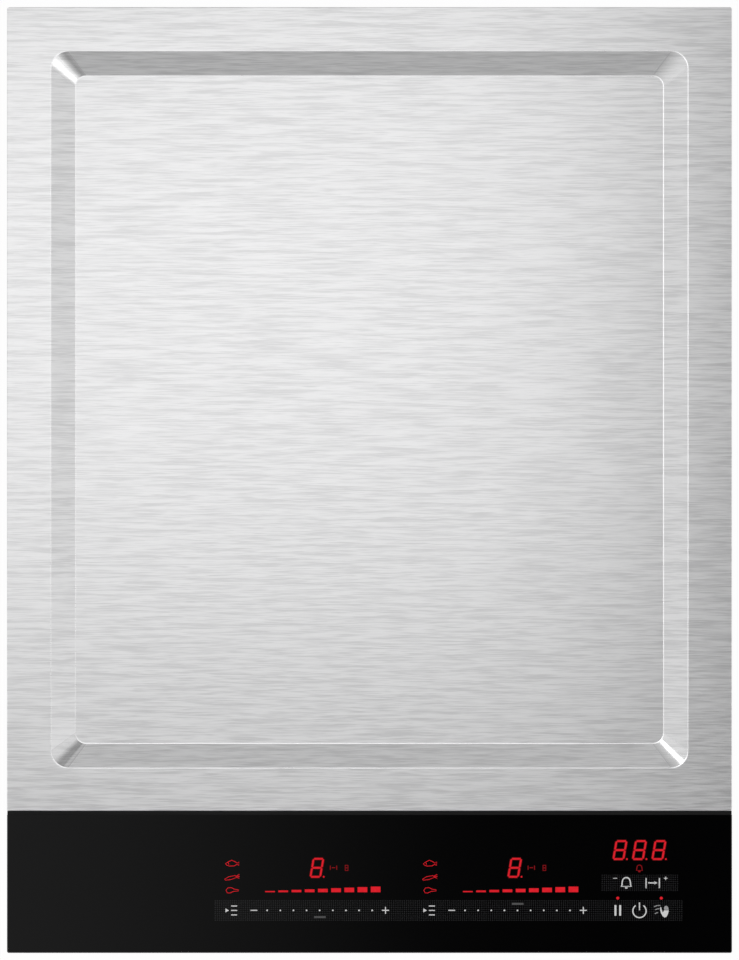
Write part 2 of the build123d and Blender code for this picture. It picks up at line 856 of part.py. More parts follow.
def make_capacitors():
    cans = []
    room = board_right - lead_shift - lead_spacing / 2 - lead_radius
    capacitor_length = (room - capacitor_side_gap) / capacitor_column_count - capacitor_side_gap
    first = board_front + ribbon_land + capacitor_gap + capacitor_width / 2
    last = board_rear - capacitor_gap - capacitor_width / 2
    for column in range(capacitor_column_count):
        x = board_right - (column + 1 / 2) * capacitor_length - (column + 1) * capacitor_side_gap
        for row in range(capacitor_row_count):
            y = first + row * (last - first) / (capacitor_row_count - 1)
            can = block(x - capacitor_length / 2, x + capacitor_length / 2, y - capacitor_width / 2,
                        y + capacitor_width / 2, board_top, board_top + capacitor_height)
            cans.append(chamfer(can.edges().filter_by(Axis.Z), capacitor_corner))
    return cans


def make_filter_board():
    return block(filter_left, filter_right, filter_front, filter_rear, board_bottom, board_top)


def make_filter_choke():
    x = filter_left + choke_place_share * (filter_right - filter_left)
    y = (filter_front + filter_rear) / 2
    middle = Pos(x, y, board_top + choke_height / 2)
    core = middle * Box(*choke_core_size, choke_height)
    coil = middle * Box(*choke_coil_size, choke_coil_share * choke_height)
    return core + chamfer(coil.edges().filter_by(Axis.Y), capacitor_corner)


def make_terminal_block():
    top = tray_sheet + terminal_height
    body = block(terminal_left, terminal_right, terminal_front, terminal_rear, tray_sheet, top)
    step_cut = block(terminal_left - cut_over, terminal_right + cut_over, terminal_rear - terminal_step,
                     terminal_rear + cut_over, top - terminal_height / 2, top + cut_over)
    body -= step_cut
    pitch = (terminal_right - terminal_left) / terminal_ways
    row = (terminal_front + terminal_rear - terminal_step) / 2
    for way in range(terminal_ways):
        x = terminal_left + (way + 1 / 2) * pitch
        half = terminal_bore / 2
        body -= block(x - half, x + half, row - half, row + half, top - terminal_height / 2, top + cut_over)
    for way in range(terminal_ways + 1):
        x = terminal_left + way * pitch
        low = max(x - terminal_rib / 2, terminal_left)
        high = min(x + terminal_rib / 2, terminal_right)
        body += block(low, high, terminal_rear - terminal_step, terminal_rear, tray_sheet, top)
    return body


def make_supply_wires():
    wires = []
    z = board_top + wire_radius
    for step in (-1, 0, 1):
        y = (terminal_front + terminal_rear) / 2 + step * terminal_step
        start = (terminal_left, y, z)
        end = (filter_right - wire_land, y, z)
        wires.append(wire_run([start, end], wire_radius))
    return wires


def make_cable_gland():
    turn = Pos(gland_x, tray_half_y, gland_z) * Rot(-90, 0, 0)
    sleeve = post(0, 0, -tray_sheet - gland_sleeve, gland_flange_height, gland_thread)
    flange = hex_post(0, 0, 0, gland_flange_height, gland_flange)
    body = sleeve + flange
    body -= post(0, 0, -tray_sheet - gland_sleeve - cut_over, gland_flange_height + cut_over, gland_bore)
    return turn * body


# Blower: scroll, cover with the motor, and an impeller with forward-curved blades

def make_blower_base():
    air = scroll_face(mouth_y + blower_wall * 2)
    wall = extrude(Pos(0, 0, blower_floor) * offset(air, blower_wall), blower_height)
    wall -= extrude(Pos(0, 0, blower_floor) * air, blower_height + cut_over)
    floor = extrude(Pos(0, 0, tray_sheet) * offset(air, blower_wall), blower_base_sheet)
    base = floor + wall
    base -= post(blower_x, blower_y, tray_sheet - cut_over, blower_top, scroll_inlet_radius)
    far = scroll_end_radius * 2
    base -= block(blower_x - far, blower_x + far, mouth_y, mouth_y + far, 0, blower_top + cut_over)
    return base


def make_blower_cover():
    air = scroll_face(mouth_y + blower_wall * 2)
    cover = extrude(Pos(0, 0, blower_top) * offset(air, blower_wall), blower_cover_sheet)
    far = scroll_end_radius * 2
    cover -= block(blower_x - far, blower_x + far, mouth_y, mouth_y + far, 0, cover_top + cut_over)
    return cover


hub_bottom = blower_floor + hub_lift
disc_bottom = blower_top - impeller_top_gap
impeller_blade_height = disc_bottom - blower_floor - impeller_lift
hub_inner = hub_radius - hub_wall
stator_radius = hub_inner - air_gap
stator_bottom = blower_floor + stator_foot
bearing_top = blower_top - bearing_top_gap
shaft_bottom = hub_bottom + hub_wall


def make_blower_motor():
    outline = Pos(blower_x, blower_y, stator_bottom) * RegularPolygon(stator_radius, stator_sides)
    stator = extrude(outline, blower_top - stator_bottom)
    stator -= post(blower_x, blower_y, stator_bottom - cut_over, bearing_top + shaft_top_gap,
                   bearing_radius + shaft_gap)
    bearing = post(blower_x, blower_y, stator_bottom, bearing_top, bearing_radius)
    bearing -= post(blower_x, blower_y, stator_bottom - cut_over, bearing_top + cut_over,
                    shaft_radius + shaft_gap)
    shaft = post(blower_x, blower_y, shaft_bottom, bearing_top + shaft_top_gap / 2, shaft_radius)
    write("blower_stator", stator)
    write("blower_bearing", bearing)
    write("blower_shaft", shaft)


def polar(radius, degrees):
    """A point of the plan at a radius and an angle."""
    return (radius * math.cos(math.radians(degrees)), radius * math.sin(math.radians(degrees)))


def blade_face():
    """One forward-curved blade, seen from above: two flats that meet at a knee."""
    middle_radius = (impeller_eye_radius + impeller_radius) / 2
    outer_tip = impeller_radius - face_gap
    thick = math.degrees(impeller_blade_sheet / impeller_radius)
    knee = impeller_blade_sweep / 2 - impeller_blade_knee
    spine = [(impeller_eye_radius, 0), (middle_radius, knee), (outer_tip, impeller_blade_sweep)]
    near = [polar(radius, angle) for radius, angle in spine]
    far = [polar(radius, angle + thick) for radius, angle in reversed(spine)]
    return make_face(Polyline(*near, *far, close=True))


def make_impeller():
    low = disc_bottom - impeller_blade_height
    blade = extrude(Pos(0, 0, low) * blade_face(), impeller_blade_height + impeller_disc / 2)
    blades = [Rot(0, 0, step * 360 / impeller_blades) * blade for step in range(impeller_blades)]
    disc = post(0, 0, disc_bottom, disc_bottom + impeller_disc, impeller_radius)
    cup = post(0, 0, hub_bottom, disc_bottom + impeller_disc, hub_radius)
    well = post(0, 0, hub_bottom + hub_wall, disc_bottom + 2 * impeller_disc, hub_inner)
    wheel = (disc + cup - well).fuse(*blades)
    return Pos(blower_x, blower_y, 0) * wheel


def make_air_duct():
    sink_top = board_top + sink_height
    mouth = (mouth_left, mouth_right, blower_floor, blower_top)
    throat = (sink_left, sink_right, board_top + duct_wall, sink_top)

    def frustum(grow):
        corners = []
        for (x_low, x_high, z_low, z_high), y in ((mouth, mouth_y), (throat, board_front)):
            for z in (z_low - grow, z_high + grow):
                corners += [(x_low - grow, y, z), (x_high + grow, y, z)]
        return ConvexPolyhedron(corners)

    outer = frustum(duct_wall)
    inner = frustum(0)
    duct = outer - inner
    lid_top = sink_top + duct_wall
    lid = block(sink_left - duct_side_lap, sink_right, board_front, sink_rear, sink_top, lid_top)
    cheek = block(sink_left - duct_side_lap, sink_left, board_front, sink_rear, board_top, lid_top)
    return duct + lid + cheek


# Control unit under the glass

control_half_x = tray_inner_x - control_side_gap
control_front_y = control_front_gap - tray_inner_y
control_rear_y = bar_front - control_rear_gap
control_low = seat_z - control_height
control_board_z = control_low + control_ledge_height
control_board_top = control_board_z + board_sheet
timer_x = timer_share * half_width
zone_control_x = [share * half_width for share in zone_control_shares]


def make_control_carrier():
    front = control_front_y
    carrier = rounded_plate(-control_half_x, control_half_x, front, control_rear_y, control_low, seat_z,
                            control_corner)
    inside = control_half_x - control_wall
    carrier -= block(-inside, inside, front + control_wall, control_rear_y - control_wall, control_board_z,
                     seat_z + cut_over)
    clear = inside - control_ledge
    inset = control_wall + control_ledge
    carrier -= block(-clear, clear, front + inset, control_rear_y - inset, control_low - cut_over,
                     control_board_z + cut_over)
    return carrier


def make_control_board():
    inside = control_half_x - control_wall - control_board_gap
    inset = control_wall + control_board_gap
    return block(-inside, inside, control_front_y + inset, control_rear_y - inset, control_board_z,
                 control_board_top)


def display_module(x, y, size):
    """A light box under the glass with a shallow window recess, y from the front edge."""
    y = y - half_depth
    half_x = size[0] / 2
    half_y = size[1] / 2
    module = block(x - half_x, x + half_x, y - half_y, y + half_y, control_board_top, seat_z)
    window_x = half_x - display_frame
    window_y = half_y - display_frame
    return module - block(x - window_x, x + window_x, y - window_y, y + window_y, seat_z - display_recess,
                          seat_z + cut_over)


def make_display_modules():
    modules = [display_module(timer_x, timer_inset, timer_size)]
    for x in zone_control_x:
        modules.append(display_module(x, level_digit_inset, level_digit_size))
        modules.append(display_module(x + level_bar_shift, level_bar_inset, level_bar_size))
        modules.append(display_module(x + pictogram_shift, pictogram_inset, pictogram_size))
    return modules


def touch_pad(x, width):
    """A conductive foam pad between the board and the glass."""
    pad_y = pad_inset - half_depth
    return block(x - width / 2, x + width / 2, pad_y - pad_depth / 2, pad_y + pad_depth / 2,
                 control_board_top, seat_z)


def make_touch_pads():
    pads = [touch_pad(timer_x + shift, pad_width) for shift in function_pad_shifts]
    for x in zone_control_x:
        pads.append(touch_pad(x + slider_pad_shift, slider_pad_width))
        pads += [touch_pad(x + shift, pad_width) for shift in pad_shifts]
    return pads


def make_control_ribbon():
    end_y = board_front + ribbon_land
    ribbon_x = board_right - ribbon_side_gap
    ribbon_start_y = control_rear_y - ribbon_inset
    points = [
        (ribbon_start_y, control_board_z),
        (ribbon_start_y, ribbon_low_z),
        (board_front - ribbon_bend, board_top + ribbon_thickness),
        (end_y, board_top + ribbon_thickness),
    ]
    ribbon = folded_strip(FilletPolyline(*points, radius=ribbon_bend), -ribbon_thickness, ribbon_width)
    return Pos(ribbon_x, 0, 0) * ribbon


# Worktop clamps: a bracket, a screw, a guided nut and a claw that swings out on the nut

nut_half = clamp_axis_gap - clamp_sheet - slide_gap
nut_rest_z = clamp_ear_low_z + clamp_sheet + face_gap + clamp_collar_height + face_gap
claw_rest_z = nut_rest_z + nut_height + face_gap / 2


def make_clamp_bracket(y):
    wall = tray_half_x
    bracket = block(wall, wall + clamp_sheet, y - clamp_tail, y + clamp_half_width, clamp_foot_z, clamp_top_z)
    edge_y = y - nut_half - slide_gap - clamp_stop_sheet
    bore = clamp_screw_radius + pivot_gap
    for ear_z in (clamp_ear_low_z, clamp_ear_high_z):
        ear = block(wall, wall + clamp_reach, edge_y, y + clamp_half_width, ear_z, ear_z + clamp_sheet)
        ear -= post(clamp_axis_x, y, ear_z - cut_over, ear_z + clamp_sheet + cut_over, bore)
        bracket += ear
    bracket += block(wall, wall + clamp_reach, edge_y, edge_y + clamp_stop_sheet, clamp_ear_low_z,
                     clamp_ear_high_z + clamp_sheet)
    return bracket


def make_clamp_screw(y):
    under_ear = clamp_ear_low_z - face_gap
    over_ear = clamp_ear_low_z + clamp_sheet + face_gap
    top = clamp_ear_high_z + clamp_sheet + clamp_screw_end
    screw = post(clamp_axis_x, y, under_ear - clamp_head_height / 2, top, clamp_screw_radius)
    screw += hex_post(clamp_axis_x, y, under_ear - clamp_head_height, under_ear, clamp_head_radius)
    screw += hex_post(clamp_axis_x, y, over_ear, over_ear + clamp_collar_height, clamp_collar_radius)
    return screw


def make_clamp_nut(y):
    nut = block(clamp_axis_x - nut_half, clamp_axis_x + nut_half, y - nut_half, y + nut_half, nut_rest_z,
                nut_rest_z + nut_height)
    nut -= post(clamp_axis_x, y, nut_rest_z - cut_over, nut_rest_z + nut_height + cut_over,
                clamp_screw_radius + shaft_gap)
    return nut


def make_clamp_claw(y):
    points = [
        (-nut_half, 0),
        (claw_hub_run, 0),
        (claw_hub_run + claw_rise, claw_rise),
        (claw_length, claw_rise),
    ]
    strip = folded_strip(Polyline(*points), claw_sheet, 2 * nut_half)
    tall = 2 * (claw_rise + claw_sheet)
    plan = block(-nut_half, nut_half, -nut_half, claw_length, -tall, tall)
    plan = chamfer(plan.edges().filter_by(Axis.Z).group_by(Axis.Y)[-1], claw_tip_corner)
    plan = chamfer(plan.edges().filter_by(Axis.Z).group_by(Axis.Y)[0], claw_hub_corner)
    claw = strip & plan
    claw -= post(0, 0, -tall, tall, clamp_screw_radius + pivot_gap)
    return Pos(clamp_axis_x, y, claw_rest_z) * claw


def write_clamps():
    pieces = {
        "clamp_screw": make_clamp_screw(clamp_y),
        "clamp_nut": make_clamp_nut(clamp_y),
        "clamp_claw": make_clamp_claw(clamp_y),
        "clamp_bracket": make_clamp_bracket(clamp_y),
    }
    for name, shape in pieces.items():
        write("right_" + name, shape)
        write("left_" + name, mirror(shape, about=Plane.YZ))


# Write every node

os.makedirs("parts", exist_ok=True)
write("teppan_plate", make_teppan_plate())
write("carrier_ring", make_carrier_ring())
make_heat_layers()
write("control_glass", make_control_glass())
write("glass_joint", make_glass_joint())
write("worktop_seal", make_worktop_seal())
write("mounting_frame", make_mounting_frame())
write("housing_tray", make_housing_tray())
write("shield_plate", make_shield_plate())
write("threaded_pillars", *make_pillars())
for zone, zone_y in zip(("front", "rear"), zone_middles):
    write(zone + "_coil_carrier", make_coil_carrier(zone_y))
    write(zone + "_coil_winding", make_coil_winding(zone_y))
    write(zone + "_coil_ferrites", *make_ferrites(zone_y))
    write(zone + "_coil_springs", *make_coil_springs(zone_y))
    write(zone + "_coil_leads", *make_coil_leads(zone_y))
write("power_board", make_power_board())
write("heat_sink", make_heat_sink())
write("power_transistors", *make_transistors())
write("film_capacitors", *make_capacitors())
write("filter_board", make_filter_board())
write("filter_choke", make_filter_choke())
write("terminal_block", make_terminal_block())
write("supply_wires", *make_supply_wires())
write("cable_gland", make_cable_gland())
write("blower_base", make_blower_base())
write("blower_cover", make_blower_cover())
make_blower_motor()
write("blower_impeller", make_impeller())
write("air_duct", make_air_duct())
write("control_carrier", make_control_carrier())
write("control_board", make_control_board())
write("display_modules", *make_display_modules())
write("touch_pads", *make_touch_pads())
write("control_ribbon", make_control_ribbon())
write_clamps()
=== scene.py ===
# %% [markdown]
# # A built-in teppanyaki cooktop
# The object is a steel griddle plate with a shallow pressed well, a strip of black glass with
# touch controls in front of it, and a sheet-metal case that hangs under the worktop.
# The moving model comes in first, and every piece made here sits on one of its bodies.

# %% Load the moving model
import json
import math

import bmesh
import bpy
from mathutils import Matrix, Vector


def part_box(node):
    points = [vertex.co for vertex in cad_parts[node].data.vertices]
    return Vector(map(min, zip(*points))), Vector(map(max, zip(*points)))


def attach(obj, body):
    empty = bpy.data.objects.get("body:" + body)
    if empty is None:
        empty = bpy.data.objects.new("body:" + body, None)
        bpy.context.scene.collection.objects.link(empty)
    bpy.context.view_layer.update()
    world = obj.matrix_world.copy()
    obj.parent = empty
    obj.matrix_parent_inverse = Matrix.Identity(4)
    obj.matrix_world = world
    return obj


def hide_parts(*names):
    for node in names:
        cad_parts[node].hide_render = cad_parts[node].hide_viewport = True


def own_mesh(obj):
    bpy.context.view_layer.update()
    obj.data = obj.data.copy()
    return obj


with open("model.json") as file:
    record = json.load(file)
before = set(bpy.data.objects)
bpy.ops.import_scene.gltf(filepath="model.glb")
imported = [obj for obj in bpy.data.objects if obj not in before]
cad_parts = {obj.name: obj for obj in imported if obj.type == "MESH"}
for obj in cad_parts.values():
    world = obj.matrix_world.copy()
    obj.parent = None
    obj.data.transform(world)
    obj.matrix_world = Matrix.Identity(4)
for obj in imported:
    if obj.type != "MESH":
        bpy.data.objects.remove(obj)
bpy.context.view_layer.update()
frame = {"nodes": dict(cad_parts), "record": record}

print("nodes:", len(frame["nodes"]))

# %% [markdown]
# ## Measures
# The picture looks straight down, so one pixel is the same length all over the top.
# The top is 384 mm wide and spans 725 pixels. These two helpers turn a place in the picture
# into a place on the glass, which keeps every printed sign where it belongs.

# %% Picture places
mm = 0.001
# A part of a mesh that is this near to a place counts as lying there
tight, loose = 0.01 * mm, 0.1 * mm
picture_height = 960
top_width, top_width_px = 0.384, 725
pixel = top_width / top_width_px
middle_px, middle_py = 369.5, 480.0


def at(px, py):
    """The place on the top, in metres, of a place in the picture."""
    return ((px - middle_px) * pixel, (middle_py - py) * pixel)


plate_low, plate_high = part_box("teppan_plate")
glass_low, glass_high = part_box("control_glass")
print("plate, glass:", [round(v / mm, 1) for v in (*plate_low, *plate_high, *glass_low, *glass_high)])

# %% [markdown]
# ## Working by hand in code
# Blender's operators act on whatever is selected, so each step first clears the selection.
# `pick` chooses faces, edges or points by where they are, as a hand would with the mouse.

# %% Helpers for modelling
def clear_selection():
    bpy.ops.object.select_all(action="DESELECT")


def activate(piece):
    clear_selection()
    piece.select_set(True)
    bpy.context.view_layer.objects.active = piece


def edit(piece):
    activate(piece)
    bpy.ops.object.mode_set(mode="EDIT")


def done():
    bpy.ops.object.mode_set(mode="OBJECT")


def middle_of(part):
    """The middle of a face, an edge or a point."""
    points = [part.co] if isinstance(part, bmesh.types.BMVert) else [v.co for v in part.verts]
    return sum(points, Vector()) / len(points)


def pick(piece, kind, test):
    """Select in edit mode the parts of one kind whose middle passes the test."""
    bpy.ops.mesh.select_mode(type=kind)
    bpy.ops.mesh.select_all(action="DESELECT")
    mesh = bmesh.from_edit_mesh(piece.data)
    parts = {"VERT": mesh.verts, "EDGE": mesh.edges, "FACE": mesh.faces}[kind]
    count = 0
    for part in parts:
        if test(part, middle_of(part)):
            part.select_set(True)
            count += 1
    mesh.select_flush_mode()
    bmesh.update_edit_mesh(piece.data)
    return count


def rise_of(edge):
    """How much higher one end of an edge is than the other."""
    return abs(edge.verts[0].co.z - edge.verts[1].co.z)


def bends(edge, degrees):
    """Whether the two faces at an edge meet at more than some degrees."""
    return len(edge.link_faces) == 2 and edge.calc_face_angle(0) > math.radians(degrees)


def round_edges(width, steps, **more):
    """Bevel the selected edges in some steps."""
    bpy.ops.mesh.bevel(offset=width, segments=steps, affect="EDGES", **more)


def draw_out(x, y, z):
    """Extrude what is selected by a distance."""
    bpy.ops.mesh.extrude_region_move(TRANSFORM_OT_translate={"value": (x, y, z)})


def settle(piece, name):
    """Name the piece and write its place into its mesh, so that its object sits at the origin."""
    activate(piece)
    piece.name = name
    piece.data.name = name
    bpy.ops.object.transform_apply(location=True, rotation=True, scale=True)
    return piece


def add_modifier(piece, kind, **values):
    """Add a modifier, give it its values and apply it."""
    activate(piece)
    modifier = piece.modifiers.new(kind.lower(), kind)
    for key, value in values.items():
        setattr(modifier, key, value)
    bpy.ops.object.modifier_apply(modifier=modifier.name)


def join(pieces, name):
    """Join several objects into the first one."""
    activate(pieces[0])
    for piece in pieces:
        piece.select_set(True)
    bpy.ops.object.join()
    return settle(bpy.context.object, name)


def block(name, low, high):
    """A box between two corners."""
    clear_selection()
    bpy.ops.mesh.primitive_cube_add(size=1, location=(low + high) / 2)
    bpy.context.object.scale = high - low
    return settle(bpy.context.object, name)


def flat(name, middle, width, depth):
    """A flat rectangle round a middle."""
    clear_selection()
    bpy.ops.mesh.primitive_plane_add(size=1, location=middle)
    bpy.context.object.scale = (width, depth, 1)
    return settle(bpy.context.object, name)


def copy_of(piece, place, turn=(0, 0, 0)):
    """A copy of a piece, moved and turned."""
    activate(piece)
    bpy.ops.object.duplicate()
    copy = bpy.context.object
    copy.location, copy.rotation_euler = place, turn
    return settle(copy, piece.name + "_copy")


def coat(piece, *materials):
    """Give a piece these materials and no others."""
    piece.data.materials.clear()
    for material in materials:
        piece.data.materials.append(material)


def smooth(piece, degrees):
    """Shade a piece smooth, except at edges that bend by more than some degrees."""
    activate(piece)
    bpy.ops.object.shade_smooth_by_angle(angle=math.radians(degrees))


# %% [markdown]
# ## The camera
# A long lens far above the object keeps the sides of the well from leaning, as in the picture.
# The distance follows from the lens: the frame's height has to cover 960 pixels of the top.

# %% Camera
lens, film = 320.0, 36.0
camera_height = plate_high.z + picture_height * pixel * lens / film
clear_selection()
bpy.ops.object.camera_add(location=(0, 0, camera_height))
camera = bpy.context.object
camera.name = "overhead_camera"
camera.data.lens = lens
camera.data.sensor_width = film
camera.data.clip_end = 100
bpy.context.scene.camera = camera
bpy.context.scene.view_settings.view_transform = "Standard"
print("camera height", round(camera_height, 2), "m")

# %% [markdown]
# ## The studio
# The floor is white paper. For the camera and for mirrors it shows near full white, while the
# shadow under the object still darkens it a little.
# Steel looks like what it mirrors, so the room is drawn for it. It is a pale dome with a dim
# ceiling, which keeps the black glass black from above, and brighter towards the left. Four narrow
# upright cards stand round it, and the drawn corners of the well mirror them as light and dark
# bands. Three soft boxes do the rest: a large one lays the sheen on the left of the plate, a weak
# one lifts its rear right corner, and a strip in front lights the slope at the back.

# %% Node helpers
def add_node(tree, kind, **settings):
    """A new node with its settings."""
    node = tree.nodes.new("ShaderNode" + kind)
    for key, value in settings.items():
        setattr(node, key, value)
    return node


def tone(value):
    """A grey from one number, or a colour from three."""
    return (value, value, value, 1.0) if isinstance(value, float) else (*value, 1.0)


def feed(tree, socket, value):
    """Give an input a plain value or what another node puts out."""
    if isinstance(value, bpy.types.NodeSocket):
        tree.links.new(value, socket)
    else:
        socket.default_value = tone(value) if socket.type == "RGBA" else value


def set_inputs(tree, node, values):
    """Feed several inputs of a node by their names."""
    for name, value in values.items():
        feed(tree, node.inputs[name], value)


def reckon(tree, operation, *values, kind="Math"):
    """One step of arithmetic between plain values and what other nodes put out."""
    node = add_node(tree, kind, operation=operation)
    for socket, value in zip(node.inputs, values):
        feed(tree, socket, value)
    return node.outputs[0]


def nodes_of(made):
    """Switch on the nodes of a new material or world and hand back their tree."""
    made.use_nodes = True
    return made.node_tree


# %% Floor
floor_size, floor_drop = 30, 0.3 * mm
floor = flat("floor", (0, 0, -floor_drop), floor_size, floor_size)
white_paper = bpy.data.materials.new("white_paper")
tree = nodes_of(white_paper)
tree.nodes.clear()
paper_out = add_node(tree, "OutputMaterial")
ray = add_node(tree, "LightPath")
glow, paper = add_node(tree, "Emission"), add_node(tree, "BsdfDiffuse")
set_inputs(tree, glow, {"Strength": 1.0})
set_inputs(tree, paper, {"Color": 0.86})
shaded_glow, paper_mix = add_node(tree, "MixShader"), add_node(tree, "MixShader")
seen = reckon(tree, "MAXIMUM", ray.outputs["Is Camera Ray"], ray.outputs["Is Glossy Ray"])
seen = reckon(tree, "MAXIMUM", seen, ray.outputs["Is Transmission Ray"])
glow_share = 0.97
for mixer, share, light in ((shaded_glow, glow_share, glow), (paper_mix, seen, shaded_glow)):
    feed(tree, mixer.inputs[0], share)
    feed(tree, mixer.inputs[1], paper.outputs[0])
    feed(tree, mixer.inputs[2], light.outputs[0])
tree.links.new(paper_mix.outputs[0], paper_out.inputs["Surface"])
coat(floor, white_paper)

# %% Dome of the room
room = bpy.data.worlds.new("studio_room")
bpy.context.scene.world = room
tree = nodes_of(room)
tree.nodes.clear()
room_out, room_light = add_node(tree, "OutputWorld"), add_node(tree, "Background")
direction, towards = add_node(tree, "TexCoord"), add_node(tree, "SeparateXYZ")
tree.links.new(direction.outputs["Generated"], towards.inputs[0])
east, north, up = (towards.outputs[axis] for axis in "XYZ")

# The brightness of the dome from its foot, at 0, to the zenith, at 1
height = add_node(tree, "ValToRGB")
height.color_ramp.interpolation = "EASE"
ceiling_foot = 0.988
stops = ((0.0, 0.66), (0.53, 0.60), (0.70, 0.70), (0.85, 0.86), (0.94, 0.58), (ceiling_foot, 0.10),
         (1.0, 0.06))
while len(height.color_ramp.elements) < len(stops):
    height.color_ramp.elements.new(0.5)
for stop, (place, value) in zip(height.color_ramp.elements, stops):
    stop.position = place
    stop.color = tone(value)
tree.links.new(up, height.inputs[0])

# Walls a little brighter to the sides than to the ends, and a ceiling that leans to the left
side_gain = reckon(tree, "MULTIPLY_ADD", reckon(tree, "MULTIPLY", east, east), 0.45,
                   reckon(tree, "MULTIPLY_ADD", east, -0.05, 1.0))
end_gain = reckon(tree, "MULTIPLY_ADD", reckon(tree, "MULTIPLY", north, north), -0.33,
                  reckon(tree, "MULTIPLY_ADD", north, 0.05, side_gain))
lean = reckon(tree, "MULTIPLY_ADD", east, -92.0, 1.1)
least, most, rounding = 0.15, 5.0, 1.0
ceiling = reckon(tree, "SMOOTH_MAX", lean, least, rounding)
ceiling = reckon(tree, "SMOOTH_MIN", ceiling, most, rounding)
in_ceiling = reckon(tree, "GREATER_THAN", up, ceiling_foot)
gain = reckon(tree, "MULTIPLY", end_gain, reckon(tree, "POWER", ceiling, in_ceiling))

# %% Upright cards
def along(azimuth):
    """How far a direction points towards an azimuth of the room, counted in degrees from X."""
    turn = math.radians(azimuth)
    dot = add_node(tree, "VectorMath", operation="DOT_PRODUCT")
    dot.inputs[1].default_value = (math.cos(turn), math.sin(turn), 0)
    tree.links.new(direction.outputs["Generated"], dot.inputs[0])
    return dot.outputs["Value"]


def upright_card(gain, azimuth, half_width, soft, change):
    """A narrow card with soft edges that makes one azimuth of the room brighter or darker."""
    across = reckon(tree, "ABSOLUTE", along(azimuth + 90), 0.0)
    inside = reckon(tree, "DIVIDE", reckon(tree, "SUBTRACT", half_width + soft, across), 2 * soft)
    inside = reckon(tree, "MINIMUM", reckon(tree, "MAXIMUM", inside, 0.0), 1.0)
    facing = reckon(tree, "GREATER_THAN", along(azimuth), 0.55)
    shown = reckon(tree, "MULTIPLY", inside, facing)
    return reckon(tree, "MULTIPLY", gain, reckon(tree, "POWER", change, shown))


for azimuth, half_width, soft, change in (
    (135, 0.095, 0.02, 3.5), (56, 0.15, 0.12, 0.16), (-26, 0.20, 0.08, 1.9), (-74, 0.12, 0.10, 0.65)
):
    gain = upright_card(gain, azimuth, half_width, soft, change)
set_inputs(tree, room_light, {"Color": height.outputs[0], "Strength": gain})
tree.links.new(room_light.outputs[0], room_out.inputs["Surface"])
print("nodes of the room:", len(tree.nodes))

# %% Soft boxes
for name, place, size, power, aim in (
    ("sheen_box", (-0.115, 0.14, 1.00), (0.62, 0.57), 1.26, (-0.115, 0.14, 0.08)),
    ("rear_box", (0.28, 0.46, 1.00), (0.5, 0.5), 0.20, (0.28, 0.46, 0.08)),
    ("front_strip", (0.3, -0.95, 1.75), (1.2, 0.2), 0.40, (0, 0, 0.05)),
):
    clear_selection()
    bpy.ops.object.light_add(type="AREA", location=place)
    lamp = bpy.context.object
    lamp.name = name
    lamp.data.shape = "RECTANGLE"
    lamp.data.size, lamp.data.size_y = size
    lamp.data.energy = power
    lamp.rotation_euler = (Vector(aim) - Vector(place)).to_track_quat("-Z", "Y").to_euler()

# %% [markdown]
# ## Shared patterns
# Nearly every finish here has a fine grain with a slower blotch under it. One node group holds
# both: it stretches the object's own coordinates, so that the same group gives the long streaks
# of brushed steel and the even pebble of moulded plastic. Its values change from place to place,
# and each material decides what they do to its colour, gloss and relief.

# %% Grain group
grain_group = bpy.data.node_groups.new("grain", "ShaderNodeTree")
for name, kind, value in (
    ("Stretch", "Vector", (1, 1, 1)), ("Scale", "Float", 1000.0), ("Blotch Scale", "Float", 40.0),
    ("Detail", "Float", 3.0)
):
    socket = grain_group.interface.new_socket(name=name, in_out="INPUT", socket_type="NodeSocket" + kind)
    socket.default_value = value
for name in ("Grain", "Blotch"):
    grain_group.interface.new_socket(name=name, in_out="OUTPUT", socket_type="NodeSocketFloat")
ins, outs = grain_group.nodes.new("NodeGroupInput"), grain_group.nodes.new("NodeGroupOutput")
place = add_node(grain_group, "TexCoord").outputs["Object"]
stretched = reckon(grain_group, "MULTIPLY", place, ins.outputs["Stretch"], kind="VectorMath")
for scale, result in (("Scale", "Grain"), ("Blotch Scale", "Blotch")):
    noise = add_node(grain_group, "TexNoise")
    set_inputs(grain_group, noise, {"Vector": stretched, "Scale": ins.outputs[scale]})
    feed(grain_group, outs.inputs[result], noise.outputs["Fac"])
    if result == "Grain":
        feed(grain_group, noise.inputs["Detail"], ins.outputs["Detail"])

# %% Finish builder
def new_material(name):
    """A material with its tree and its shader."""
    material = bpy.data.materials.new(name)
    tree = nodes_of(material)
    return material, tree, tree.nodes["Principled BSDF"]


def span(tree, source, low, high, start=0.3, end=0.7):
    """Spread a value that goes from start to end over the range from low to high."""
    node = add_node(tree, "MapRange")
    set_inputs(tree, node, {
        "Value": source, "From Min": start, "From Max": end, "To Min": low, "To Max": high})
    return node.outputs["Result"]


def blend_colours(tree, factor, dark, light):
    """Mix two colours, each plain or put out by another node, by a factor."""
    node = add_node(tree, "Mix", data_type="RGBA")
    for place, value in ((0, factor), (6, dark), (7, light)):
        feed(tree, node.inputs[place], value)
    return node.outputs[2]


def add_grain(tree, stretch=(1, 1, 1), scale=1000.0, blotch=40.0, detail=3.0):
    """The grain and the blotch of the shared group, placed in a material with its own values."""
    node = add_node(tree, "Group", node_tree=grain_group)
    set_inputs(tree, node, {"Stretch": stretch, "Scale": scale, "Blotch Scale": blotch, "Detail": detail})
    return node.outputs["Grain"], node.outputs["Blotch"]


def relief(tree, source, depth, strength):
    """A surface raised by a value, to a real depth in metres."""
    node = add_node(tree, "Bump")
    set_inputs(tree, node, {"Height": source, "Distance": depth, "Strength": strength})
    return node.outputs[0]


